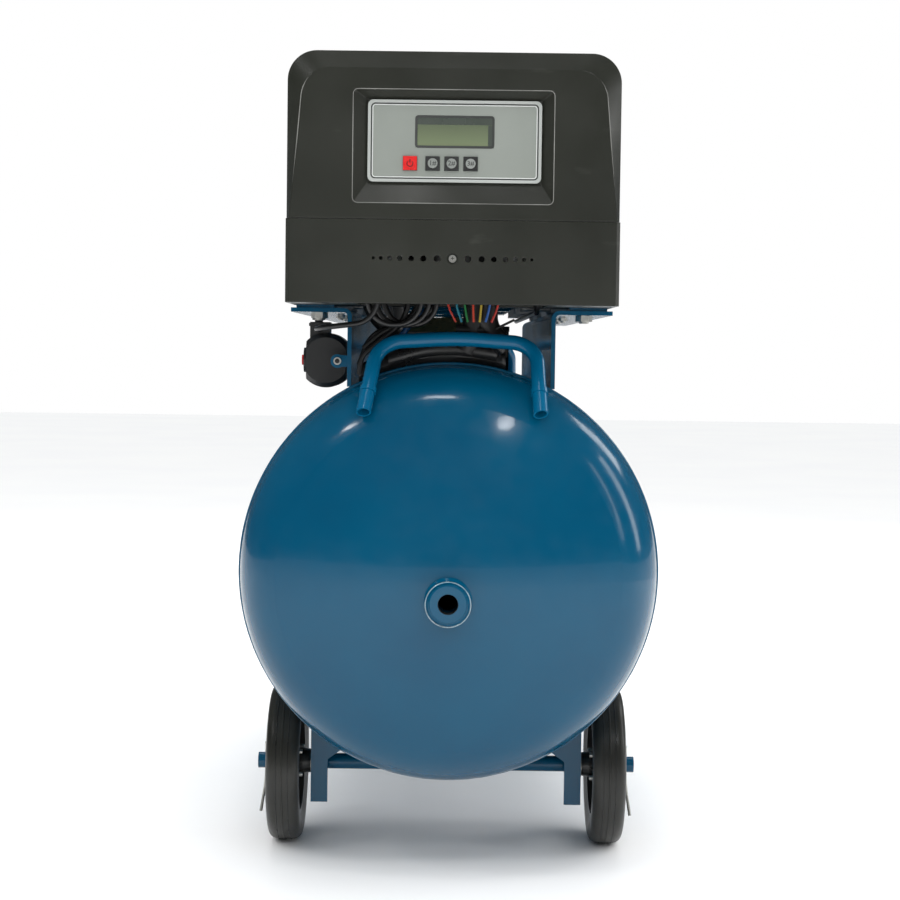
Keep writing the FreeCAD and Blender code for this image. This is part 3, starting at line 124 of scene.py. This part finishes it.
def plated(name, colour, rough):
    """Bright metal with fine directional wear."""
    finish, tree, shader = new_finish(name, colour, rough, metal=1.0)
    streaks = noise(tree, 120.0, 5.0, (1, 1, 30))
    tree.links.new(spread(tree, streaks, rough - 0.1, rough + 0.15), shader.inputs["Roughness"])
    bump(tree, shader, streaks, 0.00005, 0.4)
    return finish


def coordinate(tree, axis):
    """One of the object's own coordinates, in metres."""
    place = tree.nodes.new("ShaderNodeTexCoord")
    parts = tree.nodes.new("ShaderNodeSeparateXYZ")
    tree.links.new(place.outputs["Object"], parts.inputs["Vector"])
    return parts.outputs[axis]


def arithmetic(tree, kind, first, second):
    """A sum, difference, product or quotient of sockets and plain numbers."""
    node = tree.nodes.new("ShaderNodeMath")
    node.operation = kind
    for socket, value in zip(node.inputs, (first, second)):
        if isinstance(value, (int, float)):
            socket.default_value = value
        else:
            tree.links.new(value, socket)
    return node.outputs["Value"]


def scuffed(name, colour, shade, pale):
    """Satin moulding with a fine grain, rubbed patches and a few long pale scuffs."""
    finish, tree, shader = new_finish(name, colour, 0.4)
    shader.inputs["Specular IOR Level"].default_value = 0.4
    patches = two_tones(tree, noise(tree, 7.0, 5.0), colour, shade)
    scuffs = noise(tree, 16.0, 9.0, (1, 1, 3.2))
    mix = tree.nodes.new("ShaderNodeMix")
    mix.data_type = "RGBA"
    mix.inputs["B"].default_value = (*pale, 1)
    tree.links.new(patches, mix.inputs["A"])
    tree.links.new(spread(tree, scuffs, 0, 0.55, 0.66, 0.80), mix.inputs["Factor"])
    tree.links.new(mix.outputs["Result"], shader.inputs["Base Color"])
    tree.links.new(spread(tree, noise(tree, 18.0, 8.0), 0.30, 0.46), shader.inputs["Roughness"])
    bump(tree, shader, noise(tree, 900.0, 3.0), 0.00006, 0.5)
    rounded = tree.nodes.new("ShaderNodeBevel")
    rounded.samples = 4
    rounded.inputs["Radius"].default_value = 0.0016
    grain = shader.inputs["Normal"].links[0].from_node
    tree.links.new(rounded.outputs["Normal"], grain.inputs["Normal"])
    return finish


def wire_stripes(name, first_x, pitch_low, pitch_rise, height):
    """Wires side by side, each in its own colour; their pitch grows with height."""
    colours = ((0.42, 0.03, 0.015), (0.01, 0.16, 0.22), (0.015, 0.20, 0.05), (0.5, 0.04, 0.015),
               (0.50, 0.36, 0.04), (0.02, 0.10, 0.35), (0.45, 0.03, 0.02))
    finish, tree, shader = new_finish(name, colours[0], 0.4)
    rise = arithmetic(tree, "SUBTRACT", coordinate(tree, "Z"), height)
    pitch = arithmetic(tree, "ADD", arithmetic(tree, "MULTIPLY", rise, pitch_rise), pitch_low)
    across = arithmetic(tree, "SUBTRACT", coordinate(tree, "X"), first_x)
    place = arithmetic(tree, "DIVIDE", arithmetic(tree, "DIVIDE", across, pitch),
                       float(len(colours)))
    ramp = tree.nodes.new("ShaderNodeValToRGB")
    ramp.color_ramp.interpolation = "CONSTANT"
    while len(ramp.color_ramp.elements) < len(colours):
        ramp.color_ramp.elements.new(0.5)
    for count, colour in enumerate(colours):
        ramp.color_ramp.elements[count].position = count / len(colours)
        ramp.color_ramp.elements[count].color = (*colour, 1)
    tree.links.new(arithmetic(tree, "ADD", place, 0.5), ramp.inputs["Fac"])
    tree.links.new(ramp.outputs["Color"], shader.inputs["Base Color"])
    bump(tree, shader, noise(tree, 500.0, 2.0), 0.00005, 0.4)
    return finish


def make_finishes():
    """One finish for each material slot."""
    return {
        "blue_paint": enamel("blue_enamel", (0.0002, 0.070, 0.140), (0.0002, 0.061, 0.126)),
        "box_plastic": scuffed("charcoal_moulding", (0.014, 0.015, 0.011),
                               (0.021, 0.022, 0.017), (0.060, 0.061, 0.052)),
        "bezel_plastic": moulded("bezel_grey", (0.42, 0.44, 0.42), (0.38, 0.40, 0.38), 0.35),
        "panel_plastic": moulded("panel_grey", (0.245, 0.265, 0.24), (0.225, 0.245, 0.22), 0.42),
        "screen_glass": moulded("screen_black", (0.01, 0.01, 0.01), (0.014, 0.014, 0.014), 0.2),
        "board_laminate": moulded("board_green", (0.01, 0.07, 0.03), (0.01, 0.06, 0.02), 0.4),
        "red_key": moulded("key_red", (0.72, 0.016, 0.014), (0.62, 0.012, 0.012), 0.3),
        "black_key": moulded("key_black", (0.018, 0.018, 0.018), (0.03, 0.03, 0.03), 0.35),
        "capacitor_can": plated("drawn_can", (0.6, 0.6, 0.6), 0.35),
        "tyre_rubber": moulded("tyre_rubber_black", (0.010, 0.010, 0.008),
                               (0.022, 0.022, 0.018), 0.36, 260.0, 0.0004),
        "rim_plastic": moulded("rim_black", (0.012, 0.012, 0.011), (0.018, 0.018, 0.017), 0.3),
        "foot_rubber": moulded("foot_black", (0.013, 0.013, 0.012), (0.02, 0.02, 0.02), 0.7),
        "zinc": plated("zinc_plate", (0.55, 0.54, 0.50), 0.35),
        "black_plastic": moulded("housing_black", (0.010, 0.010, 0.010),
                                 (0.015, 0.015, 0.015), 0.42),
        "cable_black": moulded("sheath_black", (0.008, 0.008, 0.008), (0.013, 0.013, 0.013), 0.32),
        "wire_colours": wire_stripes("wire_sheaths", 0.0204, 0.0056, 0.16, 0.531),
        "hose_rubber": moulded("hose_black", (0.009, 0.009, 0.009), (0.015, 0.015, 0.015), 0.5),
        "tube_blue": moulded("tube_blue_soft", (0.004, 0.06, 0.17), (0.004, 0.05, 0.15), 0.25),
        "brass": plated("turned_brass", (0.36, 0.27, 0.13), 0.35),
        # Brass parts coloured near black, far darker than bare brass.
        "dark_brass": plated("near_black_brass", (0.05, 0.045, 0.04), 0.45),
        "gauge_case": moulded("gauge_black", (0.012, 0.012, 0.012), (0.016, 0.016, 0.016), 0.3),
        "cast_alloy": plated("cast_aluminium", (0.50, 0.50, 0.50), 0.5),
        "motor_paint": enamel("motor_black", (0.010, 0.010, 0.010), (0.014, 0.014, 0.014)),
        "red_plastic": moulded("grip_red", (0.55, 0.012, 0.010), (0.48, 0.01, 0.01), 0.35),
        "shaft_steel": plated("ground_steel", (0.45, 0.45, 0.45), 0.3),
    }


FINISHES = make_finishes()


def dress_nodes():
    """Give each kept part the finish of its slot; the handles get a lighter copy of the blue
    enamel, a painted highlight for the light on their glossy tubes.
    """
    for part in frame["record"]["subparts"]:
        node = frame["nodes"][part["node"]]
        node.data.materials.clear()
        node.data.materials.append(FINISHES[part["material_slot"]])
    # Lighter copy of the tank's blue enamel: painted highlight for the light the glossy handle
    # tubes catch.
    handle_lit_paint = enamel("handle_enamel_painted_highlight", (0.0002, 0.105, 0.215), (0.0002, 0.09, 0.19))
    for name in ("handle_front", "handle_rear"):
        frame["nodes"][name].data.materials.clear()
        frame["nodes"][name].data.materials.append(handle_lit_paint)


dress_nodes()


# ------------------------------------------------------------------ new pieces

MM = 0.001
TURNS = {"X": (0, math.radians(90), 0), "Y": (math.radians(90), 0, 0), "Z": (0, 0, 0)}
SMOOTH_ANGLE = math.radians(35)
RIPPLE_HEIGHT = 0.22        # unevenness of a ring, as a share of its wire's radius
PORT_Z = 277                # axis of the two tank ports
AXLE_Y, AXLE_Z = -245, 80   # axis of the wheels
FACE_Y, RECESS_Y = -454.9, -455.05
PUMP_STATIONS = (-210, 5, 220)
CYLINDER_X = 98.5           # distance of each cylinder from the middle plane
HEAD_SCREW_Z = 738.6


def front_of(node):
    """Middle x and z, width, height and front face of a kept part, in millimetres."""
    low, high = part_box(node)
    return ((low[0] + high[0]) / 2 / MM, (low[2] + high[2]) / 2 / MM,
            (high[0] - low[0]) / MM, (high[2] - low[2]) / MM, low[1] / MM)


def only(thing):
    """Make one object the selected and active one."""
    bpy.ops.object.select_all(action="DESELECT")
    thing.select_set(True)
    bpy.context.view_layer.objects.active = thing


def settle(thing, name, body, finish):
    """Name a finished piece, give it its surface and let it ride its body."""
    only(thing)
    bpy.ops.object.transform_apply(location=True, rotation=True, scale=True)
    bpy.ops.object.mode_set(mode="EDIT")
    bpy.ops.mesh.select_all(action="SELECT")
    bpy.ops.mesh.normals_make_consistent(inside=False)
    bpy.ops.object.mode_set(mode="OBJECT")
    bpy.ops.object.shade_smooth_by_angle(angle=SMOOTH_ANGLE)
    thing.name = name
    thing.data.name = name
    thing.data.materials.clear()
    thing.data.materials.append(finish)
    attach(thing, body)
    return thing


def plate(x, y, z, width, height, corner):
    """A flat rounded outline facing the front, left open in edit mode."""
    bpy.ops.object.select_all(action="DESELECT")
    bpy.ops.mesh.primitive_plane_add(size=1, location=(x * MM, y * MM, z * MM),
                                     rotation=TURNS["Y"])
    thing = bpy.context.object
    thing.scale = (width * MM, height * MM, 1)
    bpy.ops.object.transform_apply(location=False, rotation=False, scale=True)
    bpy.ops.object.mode_set(mode="EDIT")
    bpy.ops.mesh.select_all(action="SELECT")
    bpy.ops.mesh.bevel(offset=corner * MM, segments=6, affect="VERTICES")
    return thing


def thicken(thing, depth, soften=0.0):
    """Leave edit mode with the outline given a thickness towards the back."""
    bpy.ops.object.mode_set(mode="OBJECT")
    only(thing)
    solid = thing.modifiers.new("depth", "SOLIDIFY")
    solid.thickness = depth * MM
    solid.offset = -1
    bpy.ops.object.modifier_apply(modifier="depth")
    if soften:
        edge = thing.modifiers.new("edge", "BEVEL")
        edge.width = soften * MM
        edge.segments = 2
        edge.limit_method = "ANGLE"
        bpy.ops.object.modifier_apply(modifier="edge")


def outline(name, finish, x, y, z, width, height, corner, line, depth=0.12):
    """A thin rounded line round an area, used for moulded lines and for painted shade and painted
    highlights along edges.
    """
    thing = plate(x, y, z, width, height, corner)
    bpy.ops.mesh.select_all(action="SELECT")
    bpy.ops.mesh.inset(thickness=line * MM, use_boundary=True)
    bpy.ops.mesh.delete(type="FACE")
    thicken(thing, depth)
    return settle(thing, name, "chassis", finish)


def patch(name, finish, x, y, z, width, height, corner, depth, body="chassis", soften=0.0):
    """A small rounded plate."""
    thing = plate(x, y, z, width, height, corner)
    thicken(thing, depth, soften)
    return settle(thing, name, body, finish)


def lettering(name, finish, body, words, x, y, z, tall, depth=0.1):
    """Raised figures on a flat face."""
    bpy.ops.object.select_all(action="DESELECT")
    bpy.ops.object.text_add(location=(x * MM, y * MM, z * MM), rotation=TURNS["Y"])
    thing = bpy.context.object
    thing.data.body = words
    thing.data.align_x = "CENTER"
    thing.data.align_y = "CENTER"
    thing.data.size = tall * MM
    thing.data.extrude = depth * MM
    thing.data.resolution_u = 3
    bpy.ops.object.convert(target="MESH")
    return settle(bpy.context.object, name, body, finish)


def disc(name, finish, body, x, y, z, radius, thick, edge=0.2, axis="Y"):
    """A round plate with softened edges."""
    bpy.ops.object.select_all(action="DESELECT")
    bpy.ops.mesh.primitive_cylinder_add(vertices=48, radius=radius * MM, depth=thick * MM,
                                        location=(x * MM, y * MM, z * MM), rotation=TURNS[axis])
    thing = bpy.context.object
    soft = thing.modifiers.new("edge", "BEVEL")
    soft.width = edge * MM
    soft.segments = 2
    soft.limit_method = "ANGLE"
    bpy.ops.object.modifier_apply(modifier="edge")
    return settle(thing, name, body, finish)


def hoop(name, finish, body, x, y, z, radius, wire, axis="Y", squeeze=1.0, sides=96):
    """A slightly uneven ring of round section, scaled along its axis by squeeze."""
    bpy.ops.object.select_all(action="DESELECT")
    bpy.ops.mesh.primitive_torus_add(major_segments=sides, minor_segments=10,
                                     major_radius=radius * MM, minor_radius=wire * MM,
                                     location=(x * MM, y * MM, z * MM), rotation=TURNS[axis])
    thing = bpy.context.object
    thing.scale = (1, 1, squeeze)
    bpy.ops.object.transform_apply(location=False, rotation=False, scale=True)
    uneven = bpy.data.textures.new(name + "_ripple", "CLOUDS")
    uneven.noise_scale = 4 * wire * MM
    waves = thing.modifiers.new("ripple", "DISPLACE")
    waves.texture = uneven
    waves.strength = RIPPLE_HEIGHT * wire * MM
    bpy.ops.object.modifier_apply(modifier="ripple")
    return settle(thing, name, body, finish)


def panel_print_and_shade():
    """Lines, screen and key faces of the controller, with painted shade in the panel's groove and
    painted shadow of the bezel on the screen.
    """
    dark = moulded("line_dark", (0.035, 0.037, 0.035), (0.045, 0.047, 0.045), 0.4)
    pale = moulded("line_pale", (0.62, 0.64, 0.62), (0.58, 0.60, 0.58), 0.35)
    x, z, width, height, front = front_of("controller_panel")
    # Dark line round the panel: painted shade in the groove at its edge.
    outline("panel_groove_shade", dark, x, front - 0.08, z, width, height, 3.7, 0.9)
    outline("panel_rim", pale, x, front - 0.05, z, width - 2.0, height - 2.0,
            3.0, 0.8, 0.1)

    glass_x, glass_z, glass_wide, glass_tall, glass_front = front_of("lcd_window")
    outline("screen_rim", dark, glass_x, glass_front - 0.5, glass_z,
            glass_wide + 1.6, glass_tall + 1.6, 3, 2.2, 0.5)
    screen, tree, shader = new_finish("screen_face", (0.20, 0.25, 0.14), 0.12)
    tree.links.new(two_tones(tree, coordinate(tree, "Z"), (0.165, 0.20, 0.115),
                             (0.10, 0.12, 0.078), 0.688, 0.712), shader.inputs["Base Color"])
    bump(tree, shader, noise(tree, 300.0, 2.0), 0.00004, 0.3)
    patch("screen_face", screen, glass_x, glass_front - 0.2, glass_z,
          glass_wide - 2.6, glass_tall - 2.6, 1.2, 0.8)
    # Dark bands along the top and right of the glass: painted shadow cast by the bezel onto the
    # screen.
    shade = moulded("screen_bezel_shadow", (0.05, 0.06, 0.05), (0.06, 0.07, 0.06), 0.25)
    patch("screen_top_bezel_shadow", shade, glass_x, glass_front - 0.3,
          glass_z + glass_tall / 2 - 4.4, glass_wide - 2.8, 6.2, 0.6, 0.2)
    patch("screen_side_bezel_shadow", shade, glass_x + glass_wide / 2 - 3.2,
          glass_front - 0.3, glass_z - 3.2, 3.6, glass_tall - 9.2, 0.6, 0.2)

    cap = moulded("key_face_grey", (0.27, 0.285, 0.27), (0.22, 0.235, 0.22), 0.35)
    for number, node, body in (("1", "pump_one_button", "pump_one_key"),
                               ("2", "pump_two_button", "pump_two_key"),
                               ("3", "pump_three_button", "pump_three_key")):
        key_x, key_z, _, _, face = front_of(node)
        disc(node + "_face", cap, body, key_x, face - 0.05, key_z, 4.5, 0.5)
        lettering(node + "_figure", FINISHES["black_key"], body, number + "#",
                  key_x, face - 0.36, key_z, 6.2)
    key_x, key_z, _, _, face = front_of("power_button")
    symbol = moulded("symbol_dark_red", (0.12, 0.004, 0.004), (0.10, 0.004, 0.004), 0.4)
    ring = hoop("power_symbol_ring", symbol, "power_key", key_x, face - 0.1,
                key_z - 0.4, 2.7, 0.42, "Y", 0.5, 40)
    only(ring)
    bpy.ops.object.mode_set(mode="EDIT")
    bpy.ops.mesh.select_all(action="SELECT")
    bpy.ops.mesh.bisect(plane_co=(0, 0, (key_z + 1.5) * MM), plane_no=(0, 0, 1), use_fill=True,
                        clear_outer=True)
    bpy.ops.object.mode_set(mode="OBJECT")
    patch("power_symbol_bar", symbol, key_x, face - 0.35, key_z + 1.9, 0.9, 3.2, 0.3,
          0.3, "power_key")


def tank_details():
    """Weld beads and knuckle lines of the heads, and the edge and thread of each port; the port
    edge is a pale ring, a painted highlight where the paint's edge catches light.
    """
    middle = front_of("tank_shell")[1]
    # Pale bluish metal for the port rims: painted highlight where the paint's edge catches light.
    edge_highlight = plated("port_edge_painted_highlight", (0.35, 0.45, 0.50), 0.3)
    for side, word in ((-1, "front"), (1, "rear")):
        hoop("weld_bead_" + word, FINISHES["blue_paint"], "chassis",
             0, 375.1 * side, middle, 199.4, 1.6, "Y", 1.6, 180)
        hoop("knuckle_line_" + word, FINISHES["blue_paint"], "chassis",
             0, 393.0 * side, middle, 195.8, 0.7, "Y", 1.5, 180)
        hoop("port_edge_" + word, edge_highlight, "chassis",
             0, 496.6 * side, PORT_Z, 20.4, 0.55, "Y", 1.0, 72)
        rings = []
        for turn in range(6):
            rings.append(hoop("thread_ring", FINISHES["black_plastic"],
                              "chassis", 0, (494.5 - turn * 2.2) * side, PORT_Z, 9.6, 0.7,
                              "Y", 1.0, 40))
        merge(rings, "port_thread_" + word)


def merge(things, name):
    """One piece out of several."""
    bpy.ops.object.select_all(action="DESELECT")
    for thing in things:
        thing.select_set(True)
    bpy.context.view_layer.objects.active = things[0]
    bpy.ops.object.join()
    things[0].name = name
    things[0].data.name = name


def face_beads():
    """The rounded rims of the box's raised face and of the recess round the controller, coloured
    pale as a painted highlight where their edges catch light.
    """
    # Pale colour on the rim beads: painted highlight along the rounded edges.
    rim = moulded("rim_painted_highlight", (0.15, 0.15, 0.14), (0.30, 0.30, 0.28), 0.2)
    bpy.ops.object.select_all(action="DESELECT")
    foot_width, top_width, height, middle = 297, 274, 135.2, 690.4
    bpy.ops.mesh.primitive_plane_add(size=1, location=(0, FACE_Y * MM, middle * MM),
                                     rotation=TURNS["Y"])
    face = bpy.context.object
    face.scale = (foot_width * MM, height * MM, 1)
    bpy.ops.object.transform_apply(location=False, rotation=False, scale=True)
    for vertex in face.data.vertices:
        vertex.select = vertex.co.y > 0
    for edge in face.data.edges:
        edge.select = all(face.data.vertices[v].select for v in edge.vertices)
    for polygon in face.data.polygons:
        polygon.select = False
    bpy.ops.object.mode_set(mode="EDIT")
    bpy.ops.transform.resize(value=(top_width / foot_width, 1, 1))
    bpy.ops.mesh.bevel(offset=25 * MM, segments=10, affect="VERTICES")
    bpy.ops.mesh.select_all(action="SELECT")
    bpy.ops.mesh.inset(thickness=0.8 * MM, use_boundary=True)
    bpy.ops.mesh.delete(type="FACE")
    thicken(face, 0.35)
    settle(face, "face_rim", "chassis", rim)
    outline("recess_rim", rim, -0.4, RECESS_Y, 688, 183, 103, 5, 0.7, 0.3)


def lying_sleeve():
    """The taped end of the loom that lies along the top of the tank."""
    sleeve = hoop("lying_sleeve", FINISHES["cable_black"], "chassis",
                  0, -364, 292, 208.5, 8.5, "Y", 1.0, 120)
    only(sleeve)
    bpy.ops.object.mode_set(mode="EDIT")
    for spot, way, inner, outer in (((0, 0, 0.4), (0, 0, 1), True, False),
                                    ((-0.088, 0, 0), (1, 0, 0), True, False),
                                    ((0.052, 0, 0), (1, 0, 0), False, True)):
        bpy.ops.mesh.select_all(action="SELECT")
        bpy.ops.mesh.bisect(plane_co=spot, plane_no=way, use_fill=True,
                            clear_inner=inner, clear_outer=outer)
    bpy.ops.object.mode_set(mode="OBJECT")


def small_things():
    """Painted shade in the screw recesses, tyre ribs, hub bolts, gauge dial and the screws of the
    heads.
    """
    # Flat black disc on the earth screw's head: painted shade of its socket recess.
    disc("earth_socket_shade", FINISHES["black_plastic"], "chassis",
         -108.5, -374.5, 492.5, 2.3, 0.5)
    screw_x, screw_z, _, _, screw_front = front_of("box_screw")
    # Dark cross on the screw head: painted shade of its cross recess.
    lettering("box_screw_cross_shade", FINISHES["black_plastic"], "chassis", "+",
              screw_x, screw_front - 0.02, screw_z, 6.5)
    for side, word in ((-1, "left"), (1, "right")):
        middle = front_of("tyre_" + word)[0]
        ribs = [hoop("tyre_rib", FINISHES["rim_plastic"], "wheel_" + word,
                     middle + shift, AXLE_Y, AXLE_Z, 79.6, 0.4, "X", 1.0, 120)
                for shift in (-6, 6)]
        merge(ribs, "tyre_ribs_" + word)
        bolts = []
        for count in range(4):
            turn = math.radians(45 + 90 * count)
            bolts.append(disc("hub_bolt", FINISHES["zinc"], "wheel_" + word,
                              153.8 * side, AXLE_Y + 16.4 * math.cos(turn),
                              AXLE_Z + 16.4 * math.sin(turn), 2.6, 13.6, 0.4, "X"))
        merge(bolts, "hub_bolts_" + word)

    low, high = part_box("pressure_gauge")
    gauge_x = (low[0] + high[0]) / 2 / MM
    gauge_z = high[2] / MM - 25
    back = high[1] / MM
    dial = moulded("dial_white", (0.80, 0.80, 0.76), (0.76, 0.76, 0.72), 0.4)
    disc("gauge_dial", dial, "chassis", gauge_x, back - 2.3, gauge_z, 22.4, 0.5)
    marks = []
    for count in range(11):
        turn = math.radians(-135 + 27 * count)
        marks.append(disc("gauge_mark", FINISHES["black_plastic"], "chassis",
                          gauge_x + 18.5 * math.sin(turn), back - 1.9,
                          gauge_z + 18.5 * math.cos(turn), 1.0, 0.2, 0.04))
    merge(marks, "gauge_marks")
    patch("gauge_needle", FINISHES["red_plastic"],
          gauge_x, back - 1.6, gauge_z, 1.3, 30, 0.5, 0.3)
    screws = []
    for station in PUMP_STATIONS:
        for side in (-1, 1):
            for across in (-33, 33):
                for along in (-36, 36):
                    screws.append(disc("head_screw", FINISHES["zinc"], "chassis",
                                       CYLINDER_X * side + across, station + along,
                                       HEAD_SCREW_Z, 3.4, 4.4, 0.5, "Z"))
    merge(screws, "head_screws")


panel_print_and_shade()
tank_details()
face_beads()
lying_sleeve()
small_things()


# ------------------------------------------------------------------ the room

def aim(lamp, target):
    """Turn a lamp towards a point."""
    direction = Vector(target) - lamp.location
    lamp.rotation_euler = direction.to_track_quat("-Z", "Y").to_euler()


def softbox(name, place, target, width, height, power, seen=True):
    """A rectangular lamp; one that isn't seen leaves no shape in glossy surfaces."""
    bpy.ops.object.light_add(type="AREA", location=place)
    lamp = bpy.context.object
    lamp.name = name
    lamp.data.shape = "RECTANGLE"
    lamp.data.size = width
    lamp.data.size_y = height
    lamp.data.energy = power
    lamp.visible_glossy = seen
    aim(lamp, target)


def surroundings():
    """White behind the object, dim and cool in what glossy surfaces reflect."""
    world = bpy.data.worlds.new("surroundings")
    bpy.context.scene.world = world
    world.use_nodes = True
    tree = world.node_tree
    backdrop = tree.nodes["Background"]
    backdrop.inputs["Color"].default_value = (1, 1, 1, 1)
    backdrop.inputs["Strength"].default_value = 1.0
    dim = tree.nodes.new("ShaderNodeBackground")
    dim.inputs["Color"].default_value = (0.75, 0.88, 1.0, 1)
    dim.inputs["Strength"].default_value = 0.09
    rays = tree.nodes.new("ShaderNodeLightPath")
    mix = tree.nodes.new("ShaderNodeMixShader")
    tree.links.new(rays.outputs["Is Camera Ray"], mix.inputs["Fac"])
    tree.links.new(dim.outputs["Background"], mix.inputs[1])
    tree.links.new(backdrop.outputs["Background"], mix.inputs[2])
    tree.links.new(mix.outputs["Shader"], tree.nodes["World Output"].inputs["Surface"])


def room():
    """Pale floor, an even sky, four unseen fills and the lamps that glossy paint shows."""
    bpy.ops.object.select_all(action="DESELECT")
    bpy.ops.mesh.primitive_plane_add(size=24, location=(0, 0, 0))
    floor = bpy.context.object
    floor.name = "floor"
    pale, tree, shader = new_finish("pale_floor", (0.93, 0.93, 0.92), 0.8)
    tree.links.new(two_tones(tree, noise(tree, 2.0), (0.94, 0.94, 0.93), (0.92, 0.92, 0.92)),
                   shader.inputs["Base Color"])
    floor.data.materials.append(pale)
    surroundings()
    bpy.ops.object.light_add(type="SUN", location=(0, 0, 4))
    sky = bpy.context.object
    sky.name = "open_sky"
    sky.data.energy = 3.1
    sky.data.angle = math.radians(120)
    sky.visible_glossy = False
    softbox("fill_front", (0, -3.0, 1.3), (0, 0, 0.4), 2.4, 1.8, 26, False)
    softbox("fill_left", (-2.8, 0.2, 1.6), (0, 0, 0.4), 1.6, 1.6, 14, False)
    softbox("fill_right", (2.8, 0.2, 1.6), (0, 0, 0.4), 1.6, 1.6, 14, False)
    softbox("fill_back", (0, 3.0, 1.6), (0, 0, 0.4), 1.8, 1.6, 24, False)
    softbox("ceiling", (0, 0.9, 3.0), (0, 0, 0.6), 1.8, 0.9, 14)
    softbox("window_high", (0.79, -2.14, 2.24), (0, -0.45, 0.42), 0.22, 0.14, 3)
    softbox("window_left", (-1.54, -1.48, 2.31), (-0.09, -0.43, 0.42), 0.26, 0.16, 4)
    softbox("window_over", (-0.17, -1.43, 2.85), (0, -0.43, 0.45), 0.50, 0.20, 5)
    softbox("window_right_near", (2.37, -1.41, 1.20), (0.14, -0.43, 0.36), 0.22, 1.3, 3)
    softbox("window_right_mid", (2.50, -0.20, 1.15), (0.16, -0.41, 0.38), 0.40, 1.5, 9)
    softbox("window_right_far", (2.05, 0.90, 1.85), (0.14, -0.40, 0.42), 0.6, 1.0, 9)


def look():
    """A long lens a little above half height, tipped down to the middle of the front."""
    bpy.ops.object.camera_add(location=(0.0, -2.185, 0.504))
    camera = bpy.context.object
    camera.name = "front_camera"
    camera.data.lens = 76
    camera.data.sensor_width = 36
    tip = Matrix.Rotation(math.radians(90 - 3.0), 4, "X")
    roll = Matrix.Rotation(math.radians(0.75), 4, "Z")
    camera.matrix_world = Matrix.Translation(camera.location) @ tip @ roll
    bpy.context.scene.camera = camera
    bpy.context.scene.view_settings.view_transform = "Standard"


room()
look()
